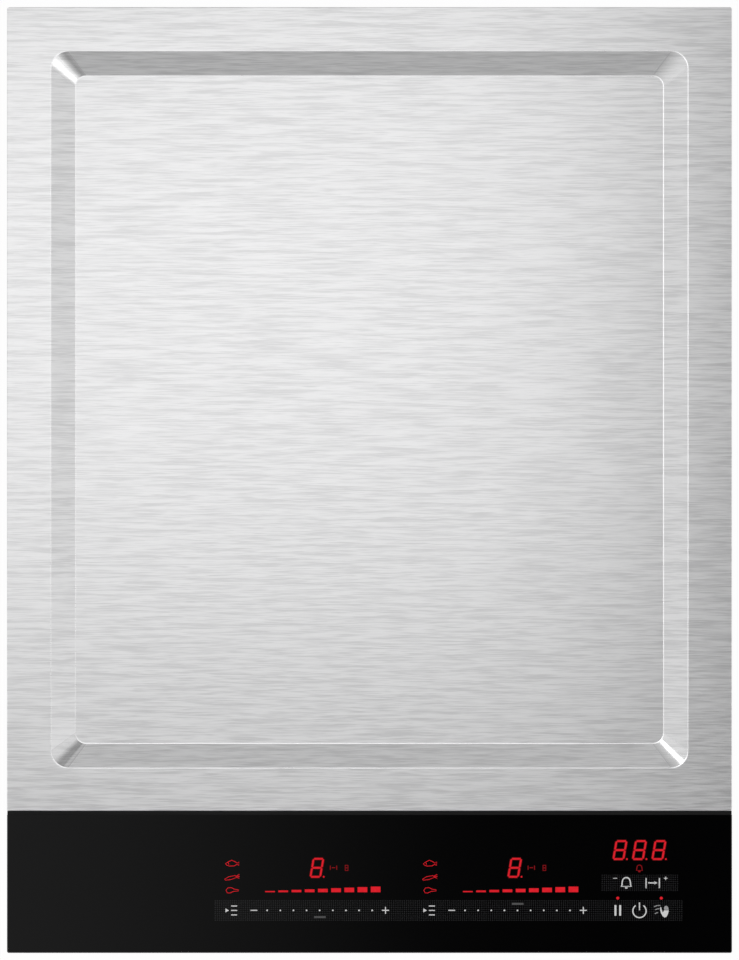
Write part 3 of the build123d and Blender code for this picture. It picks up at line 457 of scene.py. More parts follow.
def finish(name, dark, light, rough, depth, metallic=0.0, specular=0.5, **pattern):
    """A material whose colour, gloss and relief all follow one grain."""
    material, tree, shader = new_material(name)
    grain, blotch = add_grain(tree, **pattern)
    patch = blend_colours(tree, span(tree, blotch, 0, 1), dark, light)
    speck = blend_colours(tree, span(tree, grain, 0, 0.6), patch, light)
    set_inputs(tree, shader, {
        "Base Color": speck, "Roughness": span(tree, grain, *rough), "Metallic": metallic,
        "Specular IOR Level": specular, "Normal": relief(tree, grain, depth, 0.5)})
    return material


# %% [markdown]
# ## Plain finishes of the inner parts
# Most of the case is out of sight, but it shows from the side and from below.
# Each finish gets its own two tones, gloss and grain: rolled sheet is streaked, cast and moulded
# parts are pebbled, and copper wire is ribbed across its length. A line of the table gives the
# darker and the lighter tone, the range of the roughness, how metallic it is, the depth of the
# relief in millimetres, the scales of grain and blotch, and how the grain is stretched.

# %% Metals and plastics
even = (1, 1, 1)
finishes = {}
for name, dark, light, rough, metallic, depth, scale, blotch, stretch in (
    ("grey_foam", (0.06, 0.06, 0.062), (0.13, 0.13, 0.132), (0.85, 1.0), 0.0, 0.2, 1500, 300, even),
    ("zinc_steel", (0.52, 0.53, 0.55), (0.72, 0.72, 0.70), (0.24, 0.42), 1.0, 0.01, 900, 120, even),
    ("spring_steel", (0.42, 0.43, 0.45), 0.60, (0.2, 0.35), 1.0, 0.01, 1500, 40, (1, 0.1, 1)),
    ("aluminium_sheet", (0.66, 0.67, 0.68), (0.8, 0.8, 0.81), (0.3, 0.48), 1.0, 0.01, 1400, 40, (0.06, 1, 1)),
    ("aluminium_sink", (0.62, 0.63, 0.64), (0.78, 0.78, 0.79), (0.28, 0.45), 1.0, 0.03, 1800, 40,
     (1, 0.02, 1)),
    ("ferritic_steel", 0.44, (0.58, 0.57, 0.56), (0.32, 0.5), 1.0, 0.01, 1500, 40, (0.05, 1, 1)),
    ("ceramic_fibre", (0.72, 0.69, 0.63), (0.88, 0.86, 0.82), (0.9, 1.0), 0.0, 0.4, 700, 60, (1, 0.35, 1)),
    ("wire_sleeve", (0.56, 0.55, 0.52), (0.75, 0.74, 0.71), (0.6, 0.8), 0.0, 0.1, 2200, 40, even),
    ("white_plastic", (0.72, 0.71, 0.68), (0.83, 0.82, 0.79), (0.45, 0.6), 0.0, 0.03, 1800, 40, even),
    ("black_plastic", (0.022, 0.022, 0.024), (0.045, 0.045, 0.047), (0.42, 0.62), 0.0, 0.05, 2200, 80, even),
    ("ferrite", (0.06, 0.06, 0.065), (0.12, 0.12, 0.125), (0.4, 0.6), 0.0, 0.04, 900, 40, even),
    ("grey_plastic", (0.36, 0.37, 0.39), (0.48, 0.49, 0.51), (0.4, 0.58), 0.0, 0.03, 1800, 40, even),
    ("dark_steel", (0.12, 0.12, 0.13), (0.24, 0.24, 0.25), (0.35, 0.6), 0.6, 0.2, 1400, 40, (0.02, 0.02, 1)),
    ("bronze", (0.48, 0.32, 0.16), (0.66, 0.47, 0.26), (0.35, 0.55), 1.0, 0.04, 1600, 40, even),
    ("pad_foam", (0.10, 0.10, 0.11), (0.2, 0.2, 0.21), (0.85, 1.0), 0.0, 0.2, 1600, 40, even),
    ("sensor_steel", 0.5, (0.68, 0.68, 0.67), (0.2, 0.32), 1.0, 0.01, 1800, 40, (1, 1, 0.1)),
    ("copper_wire", (0.55, 0.24, 0.12), (0.86, 0.48, 0.28), (0.28, 0.45), 1.0, 0.3, 900, 40, (1, 1, 0.2)),
):
    finishes[name] = finish(
        name, dark, light, rough, depth * mm, metallic, stretch=stretch, scale=scale, blotch=blotch)
print("finishes:", len(finishes))

# %% [markdown]
# ## Galvanised sheet
# Zinc freezes on the sheet in crystals, each a flat patch with its own brightness and gloss.
# A Voronoi texture gives such patches: its colour output is one random value for each cell.

# %% Galvanised sheet
def galvanised_sheet():
    """Zinc crystals with wavy borders under a slow cloud."""
    material, tree, shader = new_material("galvanised_sheet")
    grain, blotch = add_grain(tree, scale=1200, blotch=14, detail=4)
    place = add_node(tree, "TexCoord").outputs["Object"]
    bend, crystals, crystal = (add_node(tree, kind) for kind in ("TexNoise", "TexVoronoi", "SeparateColor"))
    set_inputs(tree, bend, {"Vector": place, "Scale": 160})
    bent = reckon(tree, "MULTIPLY_ADD", bend.outputs["Color"], (4 * mm,) * 3, place, kind="VectorMath")
    set_inputs(tree, crystals, {"Vector": bent, "Scale": 110})
    feed(tree, crystal.inputs[0], crystals.outputs["Color"])
    patch = blend_colours(tree, crystal.outputs[0], (0.50, 0.52, 0.54), (0.66, 0.67, 0.68))
    clouded = blend_colours(tree, span(tree, blotch, 0, 0.5), patch, (0.60, 0.61, 0.62))
    set_inputs(tree, shader, {
        "Base Color": clouded, "Roughness": span(tree, crystal.outputs[1], 0.34, 0.5, 0, 1), "Metallic": 1.0,
        "Normal": relief(tree, grain, 0.01 * mm, 0.4)})
    return material


finishes["galvanised_sheet"] = galvanised_sheet()

# %% [markdown]
# ## Circuit board
# Green lacquer over copper tracks. A brick texture draws long straight tracks with gaps. The
# lacquer looks lighter over the copper, and it has pooled a little higher in the gaps.

# %% Circuit board
def circuit_board():
    """Green lacquer, lighter over long copper tracks."""
    material, tree, shader = new_material("circuit_board")
    grain, blotch = add_grain(tree, scale=1500, blotch=90)
    tracks = add_node(tree, "TexBrick")
    set_inputs(tree, tracks, {
        "Vector": add_node(tree, "TexCoord").outputs["Object"], "Scale": 60, "Mortar Size": 0.035,
        "Mortar Smooth": 0.2, "Brick Width": 0.7, "Row Height": 0.16})
    gap = tracks.outputs["Fac"]
    lacquer = blend_colours(tree, gap, (0.030, 0.150, 0.065), (0.010, 0.085, 0.035))
    clouded = blend_colours(tree, span(tree, blotch, 0, 0.4), lacquer, (0.02, 0.12, 0.05))
    set_inputs(tree, shader, {
        "Base Color": clouded, "Roughness": span(tree, grain, 0.25, 0.4),
        "Normal": relief(tree, gap, 0.03 * mm, 0.5)})
    return material


finishes["circuit_board"] = circuit_board()

# %% [markdown]
# ## Brushed steel
# A belt has drawn fine scratches along the width of the plate. Scratches spread a reflection
# across their own direction, so the shader is anisotropic, with the tangent of a UV map that runs
# along Y. The streaks also show as slightly lighter and darker lines of different lengths, and a
# very low relief breaks up the sheen. The press leaves the creases smoother and evens out the
# scratches in the corners, so both have a smoother steel of their own. The creases' steel is also
# lighter, a painted highlight along their lines.

# %% Brushed steel
def brushed_steel(name, light, dark, rough, spread):
    """Steel with fine scratches along X, in two tones."""
    material, tree, shader = new_material(name)
    long_lines = add_grain(tree, stretch=(0.030, 1, 0.030), scale=2600, blotch=60, detail=1)[0]
    short_lines, share = add_grain(tree, stretch=(0.055, 1, 0.055), scale=3800, blotch=500, detail=1)
    lines = blend_colours(tree, short_lines, long_lines, share)
    streaks = blend_colours(tree, span(tree, lines, 0, 1, 0.40, 0.56), dark, light)
    tangent = add_node(tree, "Tangent", direction_type="UV_MAP", uv_map="brushing").outputs[0]
    set_inputs(tree, shader, {
        "Base Color": streaks, "Roughness": span(tree, long_lines, *rough), "Metallic": 1.0,
        "Anisotropic": spread, "Tangent": tangent, "Normal": relief(tree, short_lines, 0.004 * mm, 0.3)})
    return material


plate_steels = [brushed_steel(name, light, dark, rough, spread) for name, light, dark, rough, spread in (
    ("brushed_plate", (0.785, 0.785, 0.79), (0.635, 0.635, 0.64), (0.29, 0.37), 0.6),
    # The crease steel is lighter than the plate's: a painted highlight along the creases
    ("crease_painted_highlight", (0.78, 0.78, 0.785), (0.72, 0.72, 0.725), (0.26, 0.32), 0.2),
    ("drawn_corner", (0.80, 0.80, 0.805), (0.70, 0.70, 0.705), (0.10, 0.16), 0.2))]

# %% [markdown]
# ## The cooking plate
# The real plate is one sheet: its well is pressed in, its edges are turned down.
# Here three flat sheets with rounded corners give the outer edge, the crest and the floor of the
# well. Bridging their outlines makes the border and the sloping walls, and in each corner the
# part of a cone that a press draws. The creases are then rounded, and Solidify gives the sheet
# its thickness. The corners that meet the glass are a little sharper than those at the rear.

# %% Outlines of the plate
corner_steps = 12


def rounded_sheet(name, x_side, y_front, y_rear, z, corner):
    """A flat sheet with round corners: a plane whose four corner points are bevelled."""
    sheet = flat(name, (0, (y_front + y_rear) / 2, z), 2 * x_side, y_rear - y_front)
    edit(sheet)
    bpy.ops.mesh.select_all(action="SELECT")
    bpy.ops.mesh.bevel(offset=corner, segments=corner_steps, affect="VERTICES")
    done()
    return sheet


well_floor_z, skirt_low_z, plate_top_z = 73 * mm, 76 * mm, 80 * mm
crest = (168.7 * mm, -152.5 * mm, 227.2 * mm)
well_slope_run = 12.7 * mm
outer_radius, crest_radius, floor_radius = 1.2 * mm, 9.2 * mm, 6.0 * mm
front_share = 0.55
sheet_thickness, crease_width, turned_radius = 1.5 * mm, 0.34 * mm, 0.55 * mm


def down_the_slope(share):
    """The outline of the well at a share of the way down its sloping walls, with its height."""
    run = share * well_slope_run
    x_side, y_front, y_rear = crest
    z = plate_top_z + share * (well_floor_z - plate_top_z)
    return x_side - run, y_front + run, y_rear - run, z


outer_sheet = rounded_sheet("outer_sheet", plate_high.x, plate_low.y, plate_high.y, plate_top_z, outer_radius)
edit(outer_sheet)
for side in (-1, 1):
    front_corner = Vector((side * plate_high.x, plate_low.y, plate_top_z))
    pick(outer_sheet, "VERT", lambda part, middle: (middle - front_corner).length < outer_radius + loose)
    bpy.ops.transform.resize(value=(front_share, front_share, 1), center_override=front_corner)
done()
crest_sheet = rounded_sheet("crest_sheet", *down_the_slope(0), crest_radius)
floor_sheet = rounded_sheet("floor_sheet", *down_the_slope(1), floor_radius)
steel_plate = join([outer_sheet, crest_sheet, floor_sheet], "steel_plate")

# %% Bridge the outlines
def open_edges_at(*levels):
    """A test for edges that still have an open side, at one of some heights."""
    def test(part, middle):
        near = any(abs(middle.z - level) < tight for level in levels)
        return near and len(part.link_faces) < 2
    return test


def within_crest(middle):
    """Whether a place lies inside the crest's outline or on it."""
    x_side, y_front, y_rear = crest
    return abs(middle.x) < x_side + loose and y_front - loose < middle.y < y_rear + loose


edit(steel_plate)
pick(steel_plate, "FACE", lambda part, middle: True)
bpy.ops.mesh.delete(type="ONLY_FACE")
print("edges on the flat:", pick(steel_plate, "EDGE", open_edges_at(plate_top_z)))
bpy.ops.mesh.bridge_edge_loops()
wall_ends = open_edges_at(plate_top_z, well_floor_z)
print("edges of the wall:",
      pick(steel_plate, "EDGE", lambda part, middle: wall_ends(part, middle) and within_crest(middle)))
bpy.ops.mesh.bridge_edge_loops()
pick(steel_plate, "EDGE", open_edges_at(well_floor_z))
bpy.ops.mesh.edge_face_add()

# %% Turn down the edge and round the creases
pick(steel_plate, "EDGE", lambda part, middle: len(part.link_faces) == 1)
draw_out(0, 0, skirt_low_z - plate_top_z)
bpy.ops.mesh.select_all(action="SELECT")
bpy.ops.mesh.normals_make_consistent(inside=False)


def meets_at_crease(part, middle):
    """An edge of the crest's outline or of the floor's outline."""
    at_level = any(abs(middle.z - level) < tight for level in (plate_top_z, well_floor_z))
    return at_level and rise_of(part) < tight and bends(part, 5) and within_crest(middle)


def drawn_corner(part, middle):
    """A face of a sloping wall in one of the four drawn corners."""
    slanted = 0.2 < part.normal.z < 0.97
    diagonal = min(abs(part.normal.x), abs(part.normal.y)) > 0.02
    return slanted and diagonal and within_crest(middle)


coat(steel_plate, *plate_steels)
crease_slot, corner_slot = 1, 2
print("corner faces:", pick(steel_plate, "FACE", drawn_corner))
steel_plate.active_material_index = corner_slot
bpy.ops.object.material_slot_assign()
print("crease edges:", pick(steel_plate, "EDGE", meets_at_crease))
# The rounded creases take the lighter crease steel, a painted highlight
round_edges(crease_width, 5, material=crease_slot)


def turned_edge(part, middle):
    """An edge where the border turns down into the skirt."""
    return abs(middle.z - plate_top_z) < tight and rise_of(part) < 0.05 * mm and bends(part, 80)


print("turned edges:", pick(steel_plate, "EDGE", turned_edge))
round_edges(turned_radius, 4)
done()
add_modifier(steel_plate, "SOLIDIFY", thickness=sheet_thickness, offset=-1.0, use_even_offset=True)
smooth(steel_plate, 35)
add_modifier(steel_plate, "WEIGHTED_NORMAL", keep_sharp=True, weight=80)
print("plate faces:", len(steel_plate.data.polygons))

# %% Lay the brushing direction on the plate
# U runs along Y, because the scratches run along X and spread the light across.
mesh = steel_plate.data
while mesh.uv_layers:
    mesh.uv_layers.remove(mesh.uv_layers[0])
brushing = mesh.uv_layers.new(name="brushing")
for loop in mesh.loops:
    point = mesh.vertices[loop.vertex_index].co
    brushing.data[loop.index].uv = (point.y * 2, point.x * 2)
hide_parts("teppan_plate")
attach(steel_plate, "root")

# %% [markdown]
# ## The control glass
# A strip of black glass ceramic, 4 mm thick. Its upper edges are ground, and the ground facet is
# frosted and stained nearly black, so that from above it stays as dark as the glass. Two bands of
# fine dots are printed under the glass where a finger slides. They are a pattern in the material,
# on the object's own coordinates: a grid of round dots, kept inside two rectangles.

# %% Black glass material
def inside_band(tree, place, first_corner, last_corner):
    """A mask that is 1 between two corners in X and Y."""
    limits = []
    for axis, first, last in zip("XY", first_corner, last_corner):
        limits.append(reckon(tree, "GREATER_THAN", place.outputs[axis], min(first, last)))
        limits.append(reckon(tree, "LESS_THAN", place.outputs[axis], max(first, last)))
    mask = limits[0]
    for limit in limits[1:]:
        mask = reckon(tree, "MULTIPLY", mask, limit)
    return mask


def black_glass():
    """Clear glass over black print, with two bands of dots."""
    material, tree, shader = new_material("black_glass")
    place = add_node(tree, "SeparateXYZ")
    feed(tree, place.inputs[0], add_node(tree, "TexCoord").outputs["Object"])
    slider = inside_band(tree, place, at(213.8, 899.5), at(683.0, 920.7))
    timer = inside_band(tree, place, at(600.8, 874.8), at(678.7, 891.7))
    # Where two waves cross high, there is a dot
    turns = 2 * math.pi / (2.15 * pixel)
    waves = [reckon(tree, "SINE", reckon(tree, "MULTIPLY", place.outputs[axis], turns)) for axis in "XY"]
    grid = span(tree, reckon(tree, "ADD", *waves), 0, 1, 0.2, 1.0)
    dots = reckon(tree, "MULTIPLY", reckon(tree, "MAXIMUM", slider, timer), grid)
    print_colour = blend_colours(tree, dots, (0.0004, 0.0004, 0.0005), (0.020, 0.020, 0.021))
    blotch = add_grain(tree, scale=300, blotch=9)[1]
    set_inputs(tree, shader, {
        "Base Color": print_colour, "Roughness": span(tree, blotch, 0.05, 0.075), "IOR": 1.5})
    return material


glass_material = black_glass()
ground_edge = finish(
    "ground_edge", (0.005, 0.005, 0.0054), (0.009, 0.009, 0.0094), (0.45, 0.6), 0.01 * mm, scale=3000,
    specular=0.22)

# %% Glass strip
glass_top_z = glass_high.z - 0.03 * mm
front_round, ground_facet = 1.0 * mm, 0.5 * mm
glass_strip = block("glass_strip", glass_low, Vector((glass_high.x, glass_high.y, glass_top_z)))
coat(glass_strip, glass_material, ground_edge)
edit(glass_strip)


def front_upright(part, middle):
    """An upright edge at one of the two front corners."""
    return rise_of(part) > 1 * mm and middle.y < glass_low.y + loose


def seen_rim(part, middle):
    """An edge of the upper rim, but not the one that the joint hides."""
    on_top = middle.z > glass_top_z - tight and middle.y < glass_high.y - loose
    return on_top and rise_of(part) < tight and bends(part, 60)


pick(glass_strip, "EDGE", front_upright)
round_edges(front_round, 8)
pick(glass_strip, "EDGE", seen_rim)
round_edges(ground_facet, 1, material=1)
done()
smooth(glass_strip, 20)
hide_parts("control_glass")
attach(glass_strip, "root")

# %% [markdown]
# ## The joint
# A bead of black silicone closes the gap between plate and glass from side to side. It is drawn
# off smooth, which leaves it a little hollow, so the top of a bar is inset and pushed down.

# %% Silicone bead
joint_low, joint_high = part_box("glass_joint")
joint_middle = (joint_low + joint_high) / 2
end_gap, bead_border, hollow, bead_round = 0.15 * mm, 0.5 * mm, 0.12 * mm, 0.2 * mm
bead_side = plate_high.x - end_gap
bead_low, bead_high = Vector((-bead_side, *joint_low.yz)), Vector((bead_side, *joint_high.yz))
silicone_bead = block("silicone_bead", bead_low, bead_high)
edit(silicone_bead)
pick(silicone_bead, "FACE", lambda part, middle: part.normal.z > 0.9)
bpy.ops.mesh.inset(thickness=bead_border)
bpy.ops.transform.translate(value=(0, 0, -hollow))
pick(silicone_bead, "EDGE", lambda part, middle: abs(middle.z - joint_middle.z) < loose)
round_edges(bead_round, 3)
done()
smooth(silicone_bead, 20)
finishes["black_silicone"] = finish(
    "black_silicone", 0.0065, 0.0095, (0.7, 0.85), 0.03 * mm, scale=2600, specular=0.15)
coat(silicone_bead, finishes["black_silicone"])
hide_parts("glass_joint")
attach(silicone_bead, "root")
print("bead faces:", len(silicone_bead.data.polygons))

# %% [markdown]
# ## Signs on the glass
# The signs are thin ink and the displays are lit segments seen through it. Each is drawn as a
# flat curve from picture places: closed outlines fill to solid shapes, and open lines get the
# width of a pen and closed ends. Then the curve becomes a closed mesh a few hundredths of a
# millimetre thick. The bars of the digits also leave wide lines just under them, for their glow.

# %% Drawing helpers
ink_top_z = glass_high.z - 0.005 * mm
ink_depth = 0.04 * mm


def to_mesh(curve, name):
    """Turn a drawn curve into a mesh."""
    activate(curve)
    bpy.ops.object.convert(target="MESH")
    return settle(bpy.context.object, name)


def lay_on_glass(curve, name, below=0.0):
    """Turn a drawn curve into a thin mesh that lies on the glass."""
    piece = to_mesh(curve, name)
    points = [vertex.co.z for vertex in piece.data.vertices]
    low, high = min(points), max(points)
    for vertex in piece.data.vertices:
        share = (vertex.co.z - low) / max(high - low, 1e-9)
        vertex.co.z = ink_top_z - below - ink_depth * (1 - share)
    edit(piece)
    bpy.ops.mesh.select_all(action="SELECT")
    bpy.ops.mesh.remove_doubles(threshold=0.001 * mm)
    bpy.ops.mesh.normals_make_consistent(inside=False)
    done()
    return piece


def new_curve(lines, closed=False, kind="POLY"):
    """A curve with one spline along each line of places in space."""
    clear_selection()
    bpy.ops.curve.primitive_bezier_curve_add()
    curve = bpy.context.object
    curve.data.splines.clear()
    for line in lines:
        spline = curve.data.splines.new(kind)
        spline.points.add(len(line) - 1)
        for point, place in zip(spline.points, line):
            point.co = (*place, 1)
        spline.use_cyclic_u = closed
    return curve


def thicken(curve, radius, resolution):
    """Give the lines of a curve a round section and closed ends."""
    curve.data.dimensions = "3D"
    curve.data.bevel_depth = radius
    curve.data.bevel_resolution = resolution
    curve.data.use_fill_caps = True


def on_glass(lines):
    """Lines of picture places as lines of places in space."""
    return [[(*at(*place), 0) for place in line] for line in lines]


def filled(lines, name):
    """Solid flat shapes from closed outlines."""
    curve = new_curve(on_glass(lines), closed=True)
    curve.data.dimensions = "2D"
    curve.data.fill_mode = "BOTH"
    curve.data.extrude = ink_depth / 2
    return lay_on_glass(curve, name)


def drawn(lines, width, name, closed=False, below=0.0):
    """Lines with the width of a pen, in pixels."""
    curve = new_curve(on_glass(lines), closed)
    thicken(curve, width * pixel / 2, 1)
    return lay_on_glass(curve, name, below)


def moved(lines, shift):
    """Lines moved to the right by some pixels."""
    return [[(px + shift, py) for px, py in line] for line in lines]


def oblongs(shift, *sides):
    """Outlines of boxes from their left, top, right and bottom, moved to the right."""
    return moved([[(left, top), (right, top), (right, bottom), (left, bottom)]
                  for left, top, right, bottom in sides], shift)


def ring(px, py, radius_x, radius_y=None, start=0.0, end=360.0, steps=20):
    """Points round an ellipse, clockwise from the top in degrees."""
    radius_y = radius_y or radius_x
    count = steps + (abs(end - start) < 360)
    angles = [math.radians(start + (end - start) * step / steps) for step in range(count)]
    return [(px + radius_x * math.sin(a), py - radius_y * math.cos(a)) for a in angles]


# %% Seven-segment digit
halo_lines = []


def digit_segments(left, top, bottom, width, stroke=1.8, slant=10.0, gap=0.15):
    """Seven pointed bars and a dot, leaning like the digits of a display."""
    lean = math.tan(math.radians(slant))
    half, middle, dot_radius = stroke / 2, (top + bottom) / 2, 0.95

    def bar(x, y, end_x, end_y):
        """A bar between two points, pointed at both ends."""
        length = math.hypot(end_x - x, end_y - y)
        dx, dy = (end_x - x) / length, (end_y - y) / length
        first, last = gap, length - gap
        points = [(x + run * dx + side * dy, y + run * dy - side * dx) for run, side in (
            (first, 0), (first + half, half), (last - half, half), (last, 0), (last - half, -half),
            (first + half, -half))]
        return [(px + (bottom - py) * lean, py) for px, py in points]

    low, high, near, far = bottom - half, top + half, left + half, left + width - half
    bars = [bar(near, y, far, y) for y in (high, middle, low)]
    for x in (near, far):
        bars += [bar(x, high, x, middle), bar(x, middle, x, low)]
    halo_lines.extend([line[0], line[3]] for line in bars)
    return bars + [ring(left + width + 2.8, low, dot_radius, steps=10)]


# %% Signs of the cooking zones
# Three foods as outlines, with the distance to the middle of their column and the picture's row:
# a fish, a carrot and a cutlet on its bone. Then the open strokes of the leaves and of the gill.
foods = (((-6.4, 863.6), (-3.4, 861.7), (-0.4, 860.2), (3.2, 861.8), (5.2, 863.2), (6.9, 861.9), (6.7, 865.5),
          (5.0, 864.3), (2.2, 865.9), (-2.6, 866.1), (-5.6, 865.0)),
         ((-7.4, 879.2), (-3.2, 876.7), (3.2, 875.5), (4.6, 877.4), (-0.8, 879.5), (-6.4, 880.2)),
         ((-6.0, 890.3), (-4.2, 887.9), (-0.8, 887.6), (2.4, 889.2), (6.2, 889.7), (6.2, 891.0), (1.4, 891.4),
          (-2.0, 893.0), (-4.6, 892.9)))
food_strokes = (((4.2, 876.2), (7.4, 874.4)), ((4.6, 876.8), (7.6, 876.4)), ((4.6, 877.2), (7.2, 878.3)),
                ((-3.8, 862.6), (-3.2, 864.6)))
# Strokes beside the digit of a zone, at the places of the left one
dim_strokes = (((330.3, 865.6), (330.3, 869.8)), ((336.7, 865.6), (336.7, 869.8)),
               ((331.8, 867.7), (335.2, 867.7)), ((345.6, 867.9), (347.6, 867.9)))
red_fills, food_lines, food_loops, dim_lines, dim_loops = [], [], [], [], []
white_fills, white_lines, dim_fills = [], [], []
zones = ((0.0, 917.1), (197.8, 903.8))
for shift, dash_y in zones:
    food_x = 232.0 + shift
    food_loops += moved(foods, food_x)
    food_lines += moved(food_strokes, food_x)
    red_fills += digit_segments(309.4 + shift, 857.9, 877.7, 11.5)
    dim_lines += moved(dim_strokes, shift)
    dim_loops += oblongs(shift, (345.2, 865.3, 348.0, 870.5))
    for step in range(9):
        left, height = 265.2 + step * 13.2, 1.2 + step * 0.55
        red_fills += oblongs(shift, (left, 892.2 - height, left + 9.7, 892.2))
    white_fills += moved([[(225.5, 908.4), (229.0, 910.4), (225.5, 912.4)]], shift)
    white_fills += oblongs(
        shift, (231.1, 905.5, 237.1, 906.5), (231.1, 909.9, 237.1, 910.9), (231.1, 914.4, 237.1, 915.4),
        (250.6, 909.85, 257.3, 910.85), (382.0, 909.85, 389.0, 910.85), (385.0, 906.9, 386.0, 909.8),
        (385.0, 910.9, 386.0, 913.9))
    for step in range(9):
        white_fills.append(ring(267.2 + shift + step * 13.12, 910.4, 0.85, steps=10))
    dim_fills += oblongs(shift, (314.1, dash_y - 1.0, 325.7, dash_y + 1.0))

# %% Timer and keys on the right
def bell(x, y, size):
    """A bell: its body as one loop and its clapper as half a disc under it."""
    s = size / 12.0
    half = [(5.0, 4.0), (4.3, 2.6), (4.1, -0.5), (3.4, -2.9), (1.9, -4.4)]
    left_side = [(x - dx * s, y + dy * s) for dx, dy in half]
    right_side = [(x + dx * s, y + dy * s) for dx, dy in reversed(half)]
    body = left_side + [(x, y - 4.9 * s)] + right_side
    clapper = ring(x, y + 4.9 * s, 1.5 * s, 1.4 * s, start=90, end=270, steps=8)
    return body, clapper


for left in (612.3, 631.8, 651.3):
    red_fills += digit_segments(left, 840.2, 860.0, 11.8)
small_bell, small_clapper = bell(639.4, 868.0, 7.4)
dim_loops += [small_bell, small_clapper]
for px in (617.8, 661.3):
    red_fills.append(ring(px, 898.15, 1.5, steps=14))
white_bell, white_clapper = bell(626.3, 882.4, 12.0)
white_loops = [white_bell]
white_fills.append(white_clapper)
white_fills += oblongs(0, (613.1, 878.0, 617.1, 878.6), (664.0, 877.95, 667.4, 878.65),
                       (665.35, 876.6, 666.05, 877.9), (665.35, 878.7, 666.05, 880.0))
white_lines += [[(646.1, 878.0), (646.1, 888.2)], [(659.4, 878.0), (659.4, 888.2)],
                [(648.2, 882.9), (655.0, 882.9)]]
white_fills.append([(654.3, 881.3), (657.6, 882.9), (654.3, 884.5)])
white_fills += oblongs(0, (614.5, 905.1, 616.4, 915.7), (619.2, 905.1, 621.1, 915.7))
white_lines.append(ring(639.5, 910.95, 6.65, start=36, end=324, steps=26))
white_lines.append([(639.5, 902.4), (639.5, 910.2)])

# %% Hand sign
hand = [(660.3, 907.2), (661.0, 907.0), (661.6, 909.6), (662.8, 912.6), (664.2, 910.3), (668.7, 910.4),
        (668.0, 913.8), (666.5, 916.8), (664.6, 917.5), (662.8, 916.3), (661.2, 913.6), (660.2, 910.2)]
finger_tips = [(664.2, 909.8), (664.0, 907.6), (664.8, 906.1), (666.4, 905.8), (668.1, 907.0), (668.7, 910.0)]
motion = [[(654.0, 906.8), (656.6, 905.7), (660.4, 905.4)], [(655.0, 909.8), (657.0, 909.0), (659.6, 908.7)],
          [(654.8, 913.9), (656.4, 913.0), (658.2, 912.5)]]
white_fills.append(hand)
print("red shapes:", sum(map(len, (red_fills, food_lines, food_loops, dim_lines, dim_loops))))
print("white shapes:", len(white_fills) + len(white_lines) + len(white_loops))

# %% [markdown]
# ## Ink and light
# White ink is matt and slightly uneven. The dim dashes are grey ink. The displays are red light
# behind smoked glass, so they are emissive and a little uneven, with a faint glow round the digits.

# %% Ink materials
inks = {name: finish(name, dark, light, (0.5, 0.65), 0.005 * mm, scale=3000) for name, dark, light in (
    ("white_ink", 0.60, 0.72), ("grey_ink", (0.26, 0.26, 0.265), (0.34, 0.34, 0.345)),
    ("dim_ink", (0.045, 0.045, 0.046), (0.065, 0.065, 0.066)))}


def lit_red(name, strength):
    """Red light behind smoked glass."""
    material, tree, shader = new_material(name)
    grain, blotch = add_grain(tree, scale=1800, blotch=600)
    glow = blend_colours(tree, span(tree, blotch, 0, 1), (0.74, 0.010, 0.020), (0.90, 0.016, 0.030))
    set_inputs(tree, shader, {
        "Emission Color": glow, "Emission Strength": strength, "Base Color": (0.02, 0.001, 0.001),
        "Specular IOR Level": 0.08, "Roughness": span(tree, grain, 0.3, 0.4)})
    return material


for name, strength in (("lit_red", 0.82), ("dim_red", 0.28), ("red_halo", 0.075)):
    inks[name] = lit_red(name, strength)

# %% Make the signs
def place_signs(name, ink, *pieces):
    """Join the pieces of one kind of sign and lay them on the glass."""
    signs = join(pieces, name)
    coat(signs, inks[ink])
    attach(signs, "root")
    print(name, "faces:", len(signs.data.polygons))


food_pen, halo_pen, dim_pen, white_pen, motion_pen = 0.6, 3.6, 0.8, 1.35, 0.9
place_signs("red_displays", "lit_red", filled(red_fills, "red_fills"),
            drawn(food_lines, food_pen, "food_lines"), drawn(food_loops, food_pen, "food_loops", closed=True))
place_signs("display_halo", "red_halo", drawn(halo_lines, halo_pen, "halo_lines", below=0.012 * mm))
place_signs("dim_displays", "dim_red", drawn(dim_lines, dim_pen, "dim_lines"),
            drawn(dim_loops, dim_pen, "dim_loops", closed=True))
place_signs("white_print", "white_ink", filled(white_fills, "white_fills"),
            drawn(white_lines, white_pen, "white_lines"),
            drawn(white_loops, white_pen, "white_loops", closed=True))
place_signs("grey_print", "grey_ink", filled([finger_tips], "grey_fills"),
            drawn(motion, motion_pen, "motion_lines"))
place_signs("dim_print", "dim_ink", filled(dim_fills, "dim_print"))

# %% [markdown]
# ## Screws of the frame
# Pan-head screws hold the closed tray inside the folded frame. One head is made from a disc: the
# middle of its top is inset, the rim of the inset is drawn in between four arms, and that cross is
# pushed down as the recess. The rim is rounded last. Copies are turned to the four sides.

# %% One screw head
screw_radius, screw_height, rim_round = 3.6 * mm, 1.5 * mm, 0.8 * mm
recess_radius, recess_depth, gap_share, foot_share = 1.7 * mm, 0.9 * mm, 0.42, 0.7
clear_selection()
bpy.ops.mesh.primitive_cylinder_add(
    vertices=24, radius=screw_radius, depth=screw_height, location=(0, 0, screw_height / 2))
screw = settle(bpy.context.object, "screw")
edit(screw)
pick(screw, "FACE", lambda part, middle: part.normal.z > 0.9)
bpy.ops.mesh.inset(thickness=screw_radius - recess_radius)


def between_arms(part, middle):
    """A point of the recess that lies between two arms of the cross."""
    turn = math.degrees(math.atan2(middle.y, middle.x)) % 90
    on_top = middle.z > screw_height - tight
    return on_top and middle.to_2d().length < recess_radius * 1.1 and 25 < turn < 65


